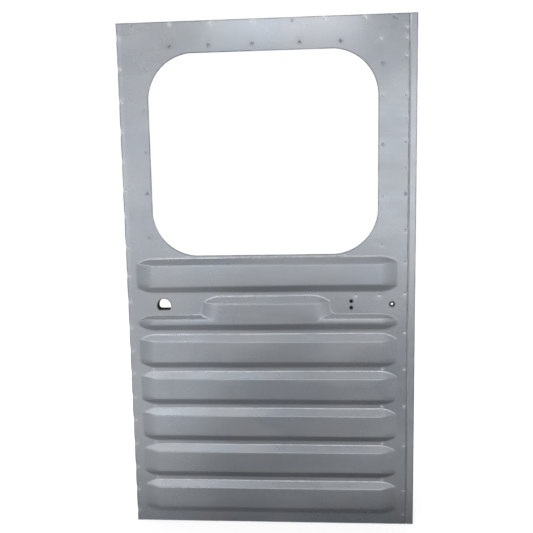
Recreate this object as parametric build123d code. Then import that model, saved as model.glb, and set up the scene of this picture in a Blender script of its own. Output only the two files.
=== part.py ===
from build123d import *
import math
import os

# Rear door leaf of a light van, bare zinc-coated sheet steel: a pressed outer skin with a window aperture
# and horizontal ribs, spot-welded to a frame of folded sections.
# X runs to the right seen from outside, with the hinge face at 0. Y runs into the door, Z up.
# The origin is on the hinge face, at half the depth and half the height. Sizes are in millimetres.

# Sheets and depth of the door
door_depth = 20.0
skin_sheet = 1.0
frame_sheet = 1.2
bend_radius = 2.0

# Window aperture and the margins around it
window_width = 448.0
window_height = 394.5
window_corner = 90.0
window_side_margin = 58.5
window_top_margin = 60.0

# Pressed ribs below the window
rib_count = 7
rib_pitch = 78.25
rib_height = 70.5
rib_flank = 15.5
rib_depth = 7.0
rib_end_taper = 45.0
rib_end_margin = 21.5
sill_gap = 5.0
bottom_margin = 21.5

# The second rib is full height only in the middle and leaves a flat at each end for the lock and handle
stepped_rib = 1
step_end_height = 32.0
step_end_flank = 8.0
step_centre_length = 254.0

# Joggled strip along the hinge edge
strip_width = 15.0
strip_lap = 20.0
groove_gap = 0.4
joggle_run = 2.0

# Frame sections: weld flanges and boxes
hinge_box = 56.0
hinge_lip_gap = 2.0
lock_flange = 16.0
lock_box = 23.0
top_flange = 16.0
top_box = 22.0
sill_flange = 15.0
valley_flange = 14.0
bottom_flange = 16.0
rail_end_gap = 2.5
gusset_leg = 72.0

# Lock, handle and stay holes, all about one line below the first rib
handle_gap = 26.5
lock_hole_radius = 14.0
lock_hole_flat = 8.0
lock_backset = 74.5
lock_plate_sheet = 2.5
lock_plate_margin = 9.0
lock_screw_spacing_x = 40.0
lock_screw_spacing_z = 42.0
lock_screw_hole = 2.75
lock_screw_thread = 2.5
handle_hole_inset = 126.0
handle_hole_pitch = 13.2
handle_hole = 3.5
handle_thread = 3.0
nut_plate_width = 32.0
nut_plate_height = 30.0
nut_plate_sheet = 4.0
stay_hole_inset = 45.0
stay_hole = 5.5
stay_thread = 3.0
stay_nut_flats = 10.0
stay_nut_height = 5.0
access_hole = 7.0

# Hinge screws in the hinge face
hinge_inset = 170.0
hinge_hole_pitch = 40.0
hinge_hole = 3.5
hinge_thread = 3.0
hinge_screw_reach = 20.0
hinge_plate_sheet = 4.0
hinge_plate_length = 70.0
hinge_plate_clearance = 0.5

# Overall size and the reference lines that follow from it
skin_width = window_width + 2 * window_side_margin
door_width = skin_width + strip_width
ribs_height = (rib_count - 1) * rib_pitch + rib_height
door_height = window_top_margin + window_height + sill_gap + ribs_height + bottom_margin
top = door_height / 2
bottom = -door_height / 2
front = -door_depth / 2
back = door_depth / 2
lock_edge = -door_width
skin_edge = -strip_width
skin_back = front + skin_sheet
flange_back = skin_back + frame_sheet
window_left = lock_edge + window_side_margin
window_right = window_left + window_width
window_upper = top - window_top_margin
window_lower = window_upper - window_height
first_foot = window_lower - sill_gap
valley = rib_pitch - rib_height
rib_left = lock_edge + rib_end_margin
rib_right = skin_edge - rib_end_margin
handle_line = first_foot - rib_height - handle_gap
lock_hole_x = lock_edge + lock_backset
lock_wall = lock_edge + lock_flange + lock_box
hinge_wall = -hinge_box
rail_left = lock_wall + rail_end_gap
rail_right = hinge_wall - rail_end_gap
web_front = back - frame_sheet
strip_back = front + frame_sheet
joggle_half_angle = math.atan2(skin_sheet, joggle_run) / 2
joggle_start = skin_edge + groove_gap + bend_radius * math.tan(joggle_half_angle)
joggle_end = joggle_start + joggle_run
hinge_heights = {"upper": top - hinge_inset, "lower": bottom + hinge_inset}


def upper_foot(index):
    """Height of a rib's upper foot, counted from the window down."""
    return first_foot - index * rib_pitch


def lower_foot(index):
    """Height of a rib's lower foot."""
    return upper_foot(index) - rib_height


def valley_below(index):
    """Middle of the flat strip between a rib and the next one."""
    return lower_foot(index) - valley / 2


def through_depth(sketch, near, far):
    """Prism of an XZ sketch from one depth to another."""
    return extrude(Plane.XZ.offset(-far) * sketch, amount=far - near)


def slab(left, right, near, far, low, high):
    """Box between two corners."""
    middle = Pos((left + right) / 2, (near + far) / 2, (low + high) / 2)
    return middle * Box(right - left, far - near, high - low)


def hole(x, z, radius, near=front - rib_depth, far=back + rib_depth):
    """Round cutter along Y."""
    return through_depth(Pos(x, z) * Circle(radius), near, far)


def window_cut():
    """Cutter for the aperture with its round corners."""
    outline = RectangleRounded(window_width, window_height, window_corner)
    centre = Pos((window_left + window_right) / 2, (window_upper + window_lower) / 2)
    return through_depth(centre * outline, front - rib_depth, back + rib_depth)


def lock_cut():
    """Cutter for the lock hole: a circle with a flat below."""
    side = 2 * lock_hole_radius
    below = Pos(0, -lock_hole_flat - side / 2) * Rectangle(side, side)
    outline = Circle(lock_hole_radius) - below
    return through_depth(Pos(lock_hole_x, handle_line) * outline, front - rib_depth, back + rib_depth)


def lock_screw_places():
    """Centres of the lock's four screws."""
    half_x = lock_screw_spacing_x / 2
    half_z = lock_screw_spacing_z / 2
    return [(lock_hole_x + i * half_x, handle_line + j * half_z) for i in (-1, 1) for j in (-1, 1)]


def handle_places():
    """Centres of the two handle screws, one over the other."""
    return [(-handle_hole_inset, handle_line + j * handle_hole_pitch / 2) for j in (-1, 1)]


def folded(corners, sheet, bend):
    """Section of a folded sheet: one face follows the corners, the thickness lies to their left."""
    near = [Vector(*corner) for corner in corners]
    ways = [(b - a).normalized() for a, b in zip(near, near[1:])]
    lefts = [Vector(-way.Y, way.X) for way in ways]
    far = [near[0] + lefts[0] * sheet]
    near_radii = []
    far_radii = []
    for corner, way, after, left, left_after in zip(near[1:], ways, ways[1:], lefts, lefts[1:]):
        far.append(corner + (left + left_after) * (sheet / (1 + left.dot(left_after))))
        turns_left = way.X * after.Y - way.Y * after.X > 0
        near_radii.append(bend + sheet if turns_left else bend)
        far_radii.append(bend if turns_left else bend + sheet)
    far.append(near[-1] + lefts[-1] * sheet)
    outline = FilletPolyline(*near, radius=near_radii) + FilletPolyline(*far, radius=far_radii)
    outline += [Line(near[0], far[0]), Line(near[-1], far[-1])]
    return make_face(outline.edges())


def hat(start, flange_a, box, flange_b):
    """Hat section over the skin, from a start across its width: flange, box, flange."""
    wall_a = start + flange_a
    wall_b = wall_a + box
    corners = [(wall_b + flange_b, flange_back), (wall_b, flange_back), (wall_b, back)]
    corners += [(wall_a, back), (wall_a, flange_back), (start, flange_back)]
    return folded(corners, frame_sheet, bend_radius)


def stile(section):
    """Upright of full height."""
    return extrude(Plane.XY.offset(bottom) * section, amount=door_height)


def rail(section):
    """Cross rail: its box laps over the stiles' inner flanges, its own flanges stop at their edges."""
    plane = Plane(origin=(rail_right, 0, 0), x_dir=(0, 0, 1), z_dir=(-1, 0, 0))
    body = extrude(plane * section, amount=rail_right - rail_left)
    for left, right in ((lock_wall, window_left), (window_right, hinge_wall)):
        body -= slab(left, right, front, flange_back, bottom, top)
    return body


def rib(high, low, high_flank, low_flank, left, right):
    """Pressed rib between an upper and a lower foot, its ends running out along arcs."""
    crest_y = front - rib_depth
    closed_y = front + skin_sheet / 2
    crest_left = left + rib_end_taper
    crest_right = right - rib_end_taper
    plan = TangentArc((crest_left, crest_y), (left, front), tangent=(-1, 0))
    plan += Line((crest_left, crest_y), (crest_right, crest_y))
    plan += TangentArc((crest_right, crest_y), (right, front), tangent=(1, 0))
    plan += Polyline((right, front), (right, closed_y), (left, closed_y), (left, front))
    profile = make_face(plan.edges())
    crest_high = high - high_flank
    crest_low = low + low_flank
    body = extrude(Plane.XY.offset(crest_low) * profile, amount=crest_high - crest_low)
    for level, flank in ((crest_high, high_flank), (crest_low, -low_flank)):
        slope = (0, rib_depth, flank)
        body += extrude(Plane.XY.offset(level) * profile, amount=math.hypot(rib_depth, flank), dir=slope)
    return body & slab(left, right, crest_y, closed_y, low, high)


def ribs():
    """All ribs, the stepped one as a narrow long rib with a taller one in its middle."""
    made = []
    for index in range(rib_count):
        high = upper_foot(index)
        low = lower_foot(index)
        if index != stepped_rib:
            made.append(rib(high, low, rib_flank, rib_flank, rib_left, rib_right))
            continue
        middle = (rib_left + rib_right) / 2
        half = step_centre_length / 2
        made.append(rib(low + step_end_height, low, step_end_flank, rib_flank, rib_left, rib_right))
        made.append(rib(high, low, rib_flank, rib_flank, middle - half, middle + half))
    return made


def outer_skin():
    """Outer sheet with its ribs, window, lock, handle and stay holes."""
    pressed = ribs()
    body = slab(lock_edge, skin_edge, front, skin_back, bottom, top)
    for one in pressed:
        body += one
    for one in pressed:
        body -= Pos(0, skin_sheet, 0) * one
    body -= window_cut()
    body -= lock_cut()
    for x, z in handle_places():
        body -= hole(x, z, handle_hole)
    return body - hole(-stay_hole_inset, handle_line, stay_hole)


def hinge_cutters(radius):
    """Cutters along X for the screws of both hinges."""
    made = []
    for height in hinge_heights.values():
        for j in (-1, 1):
            place = Pos(0, 0, height + j * hinge_hole_pitch / 2)
            made.append(place * Rot(0, 90, 0) * Cylinder(radius, 2 * hinge_screw_reach))
    return made


def hinge_edge_strip():
    """Edge strip: a lap behind the skin, a joggle and a face flush with the skin."""
    corners = [(skin_edge - strip_lap, skin_back), (joggle_start, skin_back)]
    corners += [(joggle_end, front), (0, front)]
    return stile(folded(corners, frame_sheet, bend_radius))


def hinge_stile():
    """Box along the hinge edge: a lip behind the strip, the hinge face, an inner face, a weld flange."""
    corners = [(joggle_end + hinge_lip_gap, strip_back), (0, strip_back), (0, back), (hinge_wall, back)]
    corners += [(hinge_wall, flange_back), (window_right, flange_back)]
    body = stile(folded(corners, frame_sheet, bend_radius))
    for cutter in hinge_cutters(hinge_hole):
        body -= cutter
    return body - hole(-stay_hole_inset, handle_line, access_hole, front, back + rib_depth)


def lock_stile():
    """Hat section along the lock edge."""
    inner_flange = window_side_margin - lock_flange - lock_box
    return stile(hat(lock_edge, lock_flange, lock_box, inner_flange))


def top_rail():
    """Hat section over the window."""
    inner_flange = window_top_margin - top_flange - top_box
    return rail(hat(window_upper, inner_flange, top_box, top_flange))


def waist_rail():
    """Deep hat section below the window, which carries the lock."""
    start = valley_below(stepped_rib) - valley_flange / 2
    box = window_lower - sill_flange - start - valley_flange
    body = rail(hat(start, valley_flange, box, sill_flange)) - lock_cut()
    for x, z in lock_screw_places():
        body -= hole(x, z, lock_screw_hole)
    return body


def bottom_rail():
    """Hat section along the lower edge, behind the last rib."""
    end = valley_below(rib_count - 2) + valley_flange / 2
    box = end - valley_flange - bottom_flange - bottom
    return rail(hat(bottom, bottom_flange, box, valley_flange))


def corner_gusset(side, level):
    """Flat plate that carries the window's flange round one corner."""
    corner_x = window_left if side < 0 else window_right
    corner_z = window_upper if level > 0 else window_lower
    square = Pos(corner_x - side * gusset_leg / 2, corner_z - level * gusset_leg / 2)
    arc = Pos(corner_x - side * window_corner, corner_z - level * window_corner)
    plate = square * Rectangle(gusset_leg, gusset_leg) - arc * Circle(window_corner)
    return through_depth(plate, skin_back, flange_back)


def lock_plate():
    """Stiffening plate inside the waist rail, with the lock hole and threads for the lock's screws."""
    width = lock_screw_spacing_x + 2 * lock_plate_margin
    height = lock_screw_spacing_z + 2 * lock_plate_margin
    plate = Pos(lock_hole_x, handle_line) * Rectangle(width, height)
    body = through_depth(plate, web_front - lock_plate_sheet, web_front) - lock_cut()
    for x, z in lock_screw_places():
        body -= hole(x, z, lock_screw_thread)
    return body


def handle_nut_plate():
    """Tapped plate behind the two handle holes."""
    plate = Pos(-handle_hole_inset, handle_line) * Rectangle(nut_plate_width, nut_plate_height)
    body = through_depth(plate, skin_back, skin_back + nut_plate_sheet)
    for x, z in handle_places():
        body -= hole(x, z, handle_thread)
    return body


def stay_nut():
    """Welded hexagon nut behind the single hole near the hinge edge."""
    flats = RegularPolygon(stay_nut_flats / 2, 6, major_radius=False, rotation=30)
    body = through_depth(Pos(-stay_hole_inset, handle_line) * flats, skin_back, skin_back + stay_nut_height)
    return body - hole(-stay_hole_inset, handle_line, stay_thread)


def hinge_plate(height):
    """Tapped plate behind one hinge's screws."""
    face = -frame_sheet
    near = strip_back + frame_sheet + bend_radius + hinge_plate_clearance
    far = web_front - bend_radius - hinge_plate_clearance
    low = height - hinge_plate_length / 2
    body = slab(face - hinge_plate_sheet, face, near, far, low, low + hinge_plate_length)
    for cutter in hinge_cutters(hinge_thread):
        body -= cutter
    return body


nodes = {
    "outer_skin": outer_skin(),
    "hinge_edge_strip": hinge_edge_strip(),
    "hinge_stile": hinge_stile(),
    "lock_stile": lock_stile(),
    "top_rail": top_rail(),
    "waist_rail": waist_rail(),
    "bottom_rail": bottom_rail(),
    "lock_plate": lock_plate(),
    "handle_nut_plate": handle_nut_plate(),
    "stay_nut": stay_nut(),
}
for side_name, side in (("lock_side", -1), ("hinge_side", 1)):
    for level_name, level in (("upper", 1), ("lower", -1)):
        nodes[f"{level_name}_{side_name}_gusset"] = corner_gusset(side, level)
for hinge_name, hinge_height in hinge_heights.items():
    nodes[f"{hinge_name}_hinge_plate"] = hinge_plate(hinge_height)

os.makedirs("parts", exist_ok=True)
for node_name, node in nodes.items():
    export_step(node, f"parts/{node_name}.step")
print("door", door_width, "x", door_height, "x", door_depth + rib_depth)
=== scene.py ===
"""Bare pressed-steel rear door leaf: sheet pieces, fittings, spot welds and studio, as an add-on."""

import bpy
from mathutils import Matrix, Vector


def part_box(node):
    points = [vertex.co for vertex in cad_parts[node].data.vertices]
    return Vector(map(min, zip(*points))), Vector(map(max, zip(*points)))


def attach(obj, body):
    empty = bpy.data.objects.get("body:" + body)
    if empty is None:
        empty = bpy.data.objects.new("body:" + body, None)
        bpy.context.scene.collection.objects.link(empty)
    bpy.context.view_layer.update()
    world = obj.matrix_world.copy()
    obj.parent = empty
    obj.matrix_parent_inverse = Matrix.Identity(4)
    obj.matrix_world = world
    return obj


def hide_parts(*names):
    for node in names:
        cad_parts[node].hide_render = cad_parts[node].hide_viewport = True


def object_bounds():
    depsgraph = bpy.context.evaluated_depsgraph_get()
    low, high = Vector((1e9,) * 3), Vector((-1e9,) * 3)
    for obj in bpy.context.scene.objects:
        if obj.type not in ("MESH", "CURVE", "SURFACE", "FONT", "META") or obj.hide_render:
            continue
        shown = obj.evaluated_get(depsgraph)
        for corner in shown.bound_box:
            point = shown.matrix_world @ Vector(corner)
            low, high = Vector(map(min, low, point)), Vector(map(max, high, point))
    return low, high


bl_info = {
    "name": "Pressed rear door leaf",
    "version": (1, 0, 0),
    "blender": (4, 5, 0),
    "location": "3D View > Sidebar > Rear door",
    "description": "Presses and folds the zinc-coated sheets of a van's rear door leaf around its frame",
    "category": "Object",
}

import math

import bpy
import numpy as np
from bpy.props import FloatProperty, FloatVectorProperty, IntProperty, PointerProperty
from mathutils import Matrix, Vector
from mathutils.geometry import delaunay_2d_cdt

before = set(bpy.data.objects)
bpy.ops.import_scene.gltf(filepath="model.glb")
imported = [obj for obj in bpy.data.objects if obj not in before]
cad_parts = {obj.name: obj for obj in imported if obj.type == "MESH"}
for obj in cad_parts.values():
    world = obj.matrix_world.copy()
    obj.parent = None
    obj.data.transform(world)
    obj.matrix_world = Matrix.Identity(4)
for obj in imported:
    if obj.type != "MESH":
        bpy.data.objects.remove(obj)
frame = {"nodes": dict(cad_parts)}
CAD_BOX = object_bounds()
MM = 0.001
SKIN_LOW, SKIN_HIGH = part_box("outer_skin")


def length(name, description, millimetres):
    """A length that a user may change."""
    return FloatProperty(
        name=name, description=description, default=millimetres * MM, unit="LENGTH", precision=5
    )


def share(name, description, value):
    """A plain factor that a user may change."""
    return FloatProperty(name=name, description=description, default=value, min=0.0)


def angle(name, description, degrees):
    """An angle that a user may change."""
    return FloatProperty(
        name=name, description=description, default=math.radians(degrees), subtype="ANGLE"
    )


def power(name, description, watts):
    """A lamp's power that a user may change."""
    return FloatProperty(name=name, description=description, default=watts, min=0.0, unit="POWER")


def colour(name, description, value):
    """A colour that a user may change."""
    return FloatVectorProperty(
        name=name, description=description, default=value, subtype="COLOR", min=0, max=1
    )


class SkinSettings(bpy.types.PropertyGroup):
    """Sizes of the pressed outer skin."""

    sheet: length("Sheet", "Thickness of the skin", 1.0)
    window_width: length("Window width", "Width of the window aperture", 448.0)
    window_height: length("Window height", "Height of the window aperture", 394.5)
    window_corner: length("Window corner", "Radius of the aperture's corners", 90.0)
    side_margin: length("Side margin", "From the lock edge to the aperture", 58.5)
    top_margin: length("Top margin", "From the upper edge to the aperture", 60.0)
    sill_gap: length("Sill gap", "From the aperture down to the first rib", 5.0)
    rib_count: IntProperty(name="Ribs", description="Number of pressed ribs", default=7, min=2)
    rib_pitch: length("Rib pitch", "From one rib to the next", 78.25)
    rib_height: length("Rib height", "Foot to foot of a rib", 70.5)
    rib_flank: length("Rib flank", "Width of a rib's upper side", 15.5)
    lower_flank: length("Lower flank", "Width of a rib's lower side", 13.6)
    rib_end_taper: length("Rib end taper", "Length over which a rib's end runs out", 34.0)
    rib_end_margin: length("Rib end margin", "From the skin's edge to a rib's tip", 20.0)
    step_end_height: length("Step end height", "Height of the second rib's narrow ends", 32.0)
    step_end_flank: length("Step end flank", "Upper flank of the narrow ends", 8.0)
    step_centre_length: length("Step centre length", "Length of the second rib's tall middle", 254.0)
    end_power: share("End power", "How a rib's end runs out: 1 is a plane slope", 1.5)
    upper_narrowing: length("Upper narrowing", "How far a rib's upper foot turns in at its tip", 11.5)
    lower_narrowing: length("Lower narrowing", "How far a rib's lower foot turns in at its tip", 11.5)
    step_end_taper: length("Step end taper", "Run-out of the tall middle at its lower side", 38.0)
    step_end_crown: share("Step end crown", "How much rounder the narrow ends are than the other ribs", 4.0)
    step_crown: length("Step crown", "How far the tall middle's face would fall at its feet", 0.1)
    step_blend: length("Step blend", "Height over which the step's joint is rounded", 9.0)
    step_flare: length("Step flare", "How far the tall middle's foot spreads on its way down", 5.0)
    crown: length("Crown", "How far a rib's round face would fall at its feet", 0.5)
    crest_rounding: length("Crest rounding", "Height over which the die rounds a rib's crest", 1.2)
    foot_rounding: length("Foot rounding", "Height over which the die rounds a rib's upper foot", 1.2)
    # The foot highlight is a painted highlight: a bright line along each rib's upper foot.
    foot_line: length("Foot line", "Height over which a rib's upper foot is rubbed bright", 0.7)
    lower_rounding: length("Lower rounding", "Height over which the die rounds a rib's lower foot", 1.1)
    buckle: length("Buckle", "Depth of the slow waves in the sheet", 0.16)
    rib_waver: length("Rib waver", "How far a rib's edges stray from straight", 0.5)
    lock_radius: length("Lock hole radius", "Radius of the lock hole", 14.0)
    lock_flat: length("Lock hole flat", "From the lock hole's centre to its flat", 8.6)
    lock_corner: length("Lock hole corner", "Rounding of the lock hole's two corners", 1.5)
    lock_backset: length("Lock backset", "From the lock edge to the lock hole", 74.5)
    handle_gap: length("Handle gap", "From the first rib down to the lock and handle holes", 26.5)
    handle_inset: length("Handle inset", "From the hinge face to the two handle holes", 126.0)
    handle_pitch: length("Handle pitch", "Between the two handle holes", 13.2)
    handle_radius: length("Handle hole radius", "Radius of the handle holes", 3.5)
    stay_inset: length("Stay inset", "From the hinge face to the stay hole", 45.0)
    stay_radius: length("Stay hole radius", "Radius of the stay hole in the skin", 5.5)


class FrameSettings(bpy.types.PropertyGroup):
    """Sizes of the folded sections and the fittings behind the skin."""

    sheet: length("Sheet", "Thickness of the folded sections", 1.2)
    bend: length("Bend", "Inner radius of the folds", 2.0)
    joggle_start: length("Joggle start", "From the hinge face to the start of the strip's joggle", 14.128)
    joggle_run: length("Joggle run", "Length of the strip's joggle", 2.0)
    hinge_box: length("Hinge box", "Width of the box along the hinge edge", 56.0)
    lip_gap: length("Lip gap", "From the joggle to the hinge stile's lip", 2.0)
    lock_flange: length("Lock flange", "Outer weld flange of the lock stile", 16.0)
    lock_box: length("Lock box", "Width of the lock stile's box", 23.0)
    top_flange: length("Top flange", "Upper weld flange of the top rail", 16.0)
    top_box: length("Top box", "Height of the top rail's box", 22.0)
    sill_flange: length("Sill flange", "Upper weld flange of the waist rail", 15.0)
    valley_flange: length("Valley flange", "Weld flange that lies in a valley between ribs", 14.0)
    bottom_flange: length("Bottom flange", "Lower weld flange of the bottom rail", 16.0)
    hinge_inset: length("Hinge inset", "From the upper and lower edges to the hinges", 170.0)
    hinge_pitch: length("Hinge pitch", "Between the two screws of a hinge", 40.0)
    hinge_radius: length("Hinge hole radius", "Radius of the holes in the hinge face", 3.5)
    hinge_thread: length("Hinge thread", "Radius of the threads behind the hinge face", 3.0)
    access_radius: length("Access radius", "Radius of the hole behind the stay nut", 7.0)
    lock_flat: length("Rear lock flat", "From the lock hole's centre to its flat, behind the skin", 7.2)
    lock_corner: length("Rear lock corner", "Rounding of the lock hole's corners, behind the skin", 5.4)
    lock_screw_x: length("Lock screws across", "Spacing of the lock's screws along the door's width", 40.0)
    lock_screw_z: length("Lock screws up", "Spacing of the lock's screws along the door's height", 42.0)
    lock_screw_radius: length("Lock screw hole", "Radius of the lock's screw holes", 2.75)
    lock_thread: length("Lock thread", "Radius of the threads in the lock plate", 2.5)
    handle_thread: length("Handle thread", "Radius of the threads in the handle's nut plate", 3.0)
    stay_thread: length("Stay thread", "Radius of the stay nut's thread", 3.0)


class WeldSettings(bpy.types.PropertyGroup):
    """Sizes of the spot welds."""

    dent: length("Dent", "Depth of an electrode's dent in the skin", 0.55)
    radius: length("Dent radius", "Radius of an electrode's dent", 3.8)
    pull: length("Pull", "How far the sheet is drawn in round a weld", 0.12)
    pull_radius: length("Pull radius", "How wide the sheet is drawn in", 13.0)
    pinch: length("Pinch", "How far the lock edge is pinched in at its welds", 1.0)
    pinch_length: length("Pinch length", "Half the length of such a pinch", 7.0)
    mark_radius: length("Mark radius", "Radius of the raised mark on the rear flanges", 3.4)
    mark_rim: length("Mark rim", "Height of the raised mark's rim", 0.3)
    seed: IntProperty(name="Seed", description="Seed of the marks' scatter", default=7)


class FinishSettings(bpy.types.PropertyGroup):
    """Colours of the finishes."""

    zinc: colour("Zinc", "Cool main colour of the zinc coat", (0.396, 0.437, 0.49))
    zinc_neutral: colour("Neutral zinc", "Patches without the cool tint", (0.425, 0.434, 0.448))
    zinc_pale: colour("Pale zinc", "Paler clouds in the coat", (0.462, 0.48, 0.51))
    zinc_dull: colour("Dull zinc", "Duller clouds in the coat", (0.36, 0.386, 0.42))
    # The bright colour also paints the highlights along the ribs' upper feet and on some welds.
    bright: colour("Bright metal", "Scratches and rubbed welds", (0.66, 0.68, 0.7))
    # This dark colour also paints the shade on the ribs' lower sides.
    edge_line_and_shade: colour("Sheared edge", "Dark line of the cut edges", (0.1, 0.1, 0.108))
    # Dark weld colour: scorched metal, and on the skin also painted shade in the welds' dents.
    scorch_and_shade: colour("Scorched", "Burnt ring round a weld", (0.075, 0.08, 0.095))
    # Painted shade in the groove beside the edge strip.
    groove_shade: colour("Grime", "Dirt in the groove beside the edge strip", (0.03, 0.03, 0.034))
    # The dark steel colour is the phosphate's own dark tone darkened further, as painted shade for the nuts
    # and plates seen in the skin's holes.
    dark_steel: colour("Dark steel", "Phosphated nuts and plates", (0.03, 0.03, 0.033))
    dark_steel_worn: colour("Worn dark steel", "Paler patches of the phosphate", (0.055, 0.055, 0.06))


class StageSettings(bpy.types.PropertyGroup):
    """Camera, lamps and floor."""

    camera_place: FloatVectorProperty(
        name="Camera place",
        description="Where the camera stands",
        default=(-0.2152, -1.2134, 0.1767),
        subtype="XYZ",
    )
    camera_tilt: angle("Camera tilt", "How far it looks down", 6.84)
    camera_turn: angle("Camera turn", "How far it looks aside", 3.75)
    camera_roll: angle("Camera roll", "How far it leans", -0.61)
    lens: FloatProperty(name="Lens", description="Focal length", default=40.93, unit="CAMERA")
    key_watts: power("Key", "Power of the large lamp at the upper left", 20.0)
    rear_watts: power("Rear", "Power of the lamp behind the door", 20.0)
    overhead: share("Overhead", "Strength of the soft light from above", 2.0)
    ambient: share("Ambient", "Level of the studio's even light", 0.45)
    floor_glow: share("Floor glow", "Share of plain white in the floor's look", 0.55)


class RearDoorSettings(bpy.types.PropertyGroup):
    """All settings of the door."""

    skin: PointerProperty(type=SkinSettings)
    frame: PointerProperty(type=FrameSettings)
    weld: PointerProperty(type=WeldSettings)
    finish: PointerProperty(type=FinishSettings)
    stage: PointerProperty(type=StageSettings)


def settings():
    """The door's settings in this scene."""
    return bpy.context.scene.rear_door


class Lines:
    """Reference lines of the door, worked out from the frame and the settings."""

    def __init__(self):
        skin = settings().skin
        self.lock_edge = SKIN_LOW.x
        self.skin_edge = SKIN_HIGH.x
        self.bottom = SKIN_LOW.z
        self.top = SKIN_HIGH.z
        self.crest = SKIN_LOW.y
        self.skin_back = SKIN_HIGH.y
        self.front = self.skin_back - skin.sheet
        self.rib_depth = self.front - self.crest
        self.flange_back = self.skin_back + settings().frame.sheet
        self.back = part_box("lock_stile")[1].y
        self.window_left = self.lock_edge + skin.side_margin
        self.window_right = self.window_left + skin.window_width
        self.window_upper = self.top - skin.top_margin
        self.window_lower = self.window_upper - skin.window_height
        self.first_foot = self.window_lower - skin.sill_gap
        self.handle_line = self.first_foot - skin.rib_height - skin.handle_gap
        self.lock_x = self.lock_edge + skin.lock_backset
        self.left_tip = self.lock_edge + skin.rib_end_margin
        self.right_tip = self.skin_edge - skin.rib_end_margin

    def feet(self, index):
        """Upper and lower foot of a rib, counted from the window down."""
        skin = settings().skin
        high = self.first_foot - index * skin.rib_pitch
        return high, high - skin.rib_height

    def valley(self, index):
        """Middle of the flat below a rib."""
        skin = settings().skin
        return self.feet(index)[1] - (skin.rib_pitch - skin.rib_height) / 2


# Spot welds as they sit on the door, in millimetres: rows of places along one line, with their tone.
# A tone above 0 paints a weld bright, as rubbed metal and a painted highlight on its dent; one below 0
# paints it dark, as scorched metal and painted shade in its dent.
LOCK_EDGE_WELDS = (
    483, 424, 362, 304, 246, 190, 138, 76, 18, -36, -90, -140, -187, -238, -287, -338, -390, -440, -487,
)
HINGE_EDGE_WELDS = (483, 464, 431, 361, 317, 273, 222, 100, 38, -24, -103, -178, -256, -340, -436, -488)
UPRIGHT_WELDS = (
    (-574.5, LOCK_EDGE_WELDS, 0.8),
    (-531.0, (424, 344, 262, 92), -0.1),
    (-531.0, (181,), -0.5),
    (-65.0, (421,), -0.5),
    (-65.0, (268,), -0.1),
    (-65.0, (361, 167, 73), 0.7),
    (-20.3, HINGE_EDGE_WELDS, 0.7),
    (-20.3, (172,), -0.4),
)
LEVEL_WELDS = (
    (505.0, (-475, -393, -312, -176, -99), 0.9),
    (505.0, (-548, -237, -43), -0.4),
    (464.0, (-476, -400, -315, -224, -145), -0.9),
    (464.0, (-69,), 0.8),
    (-27.5, (-117, -70.5), 0.8),
)
VALLEY_WELD_X = (-533.5, -64.0)
VALLEY_WELD_TONES = (0.6, 0.9)
VALLEY_WELD_RISE = 2.2 * MM
FIRST_WELDED_VALLEY = 2


def spot_welds():
    """Every spot weld on the skin: place across, height, tone."""
    lines = Lines()
    found = [(x * MM, z * MM, tone) for x, places, tone in UPRIGHT_WELDS for z in places]
    found += [(x * MM, z * MM, tone) for z, places, tone in LEVEL_WELDS for x in places]
    for index in range(FIRST_WELDED_VALLEY, settings().skin.rib_count - 1):
        for x, tone in zip(VALLEY_WELD_X, VALLEY_WELD_TONES):
            found.append((x * MM, lines.valley(index) + VALLEY_WELD_RISE, tone))
    return np.array(found)


EDGE_WAVE = 45 * MM
EDGE_WAVE_SEED = 21
EDGE_WAVE_SHARE = 0.25
EDGE_PINCH_SHARE = 0.8


def edge_waves(z):
    """Slow uneven waves along the lock edge, between about -1 and 1, from a few sines."""
    draw = np.random.default_rng(EDGE_WAVE_SEED)
    total = np.zeros_like(z)
    for _ in range(6):
        slant = math.sin(draw.uniform(0, math.pi))
        stretch = draw.uniform(0.7, 1.6)
        phase = draw.uniform(0, 2 * math.pi)
        total += np.sin(z * slant * 2 * math.pi / (EDGE_WAVE * stretch) + phase)
    return total / 3


def edge_notches(z):
    """How far the lock edge is pinched in at each height: a little everywhere and more at its welds."""
    weld = settings().weld
    pinch = sum(np.exp(-(((z - place * MM) / weld.pinch_length) ** 2)) for place in LOCK_EDGE_WELDS)
    slow = 1 + np.clip(edge_waves(z), -1, 1)
    ends = np.clip(np.minimum(z - SKIN_LOW.z, SKIN_HIGH.z - z) / weld.pinch_length, 0, 1)
    return weld.pinch * np.clip(EDGE_WAVE_SHARE * slow + EDGE_PINCH_SHARE * pinch, 0, 1) * ends


# Outlines of flat blanks. The sheet lies to the left of each outline, so holes run clockwise.
def split(corners, step):
    """Closed outline through the corners, with points no further apart than a step."""
    points = []
    for start, end in zip(corners, corners[1:] + corners[:1]):
        start = np.array(start, float)
        end = np.array(end, float)
        count = max(1, math.ceil(np.linalg.norm(end - start) / step))
        points += [start + (end - start) * k / count for k in range(count)]
    return np.array(points)


def arc(centre, radius, first, last, count):
    """Points of an arc, by its first and last angle in degrees."""
    angles = np.radians(np.linspace(first, last, count + 1))
    return [(centre[0] + radius * math.cos(a), centre[1] + radius * math.sin(a)) for a in angles]


def round_hole(x, z, radius, count=24):
    """Clockwise circle."""
    return np.array(arc((x, z), radius, 360, 0, count)[:-1])


def four_holes(u, v, pitch_u, pitch_v, radius):
    """Clockwise circles at the corners of a rectangle."""
    return [
        round_hole(u + i * pitch_u / 2, v + j * pitch_v / 2, radius, 16) for i in (-1, 1) for j in (-1, 1)
    ]


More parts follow.
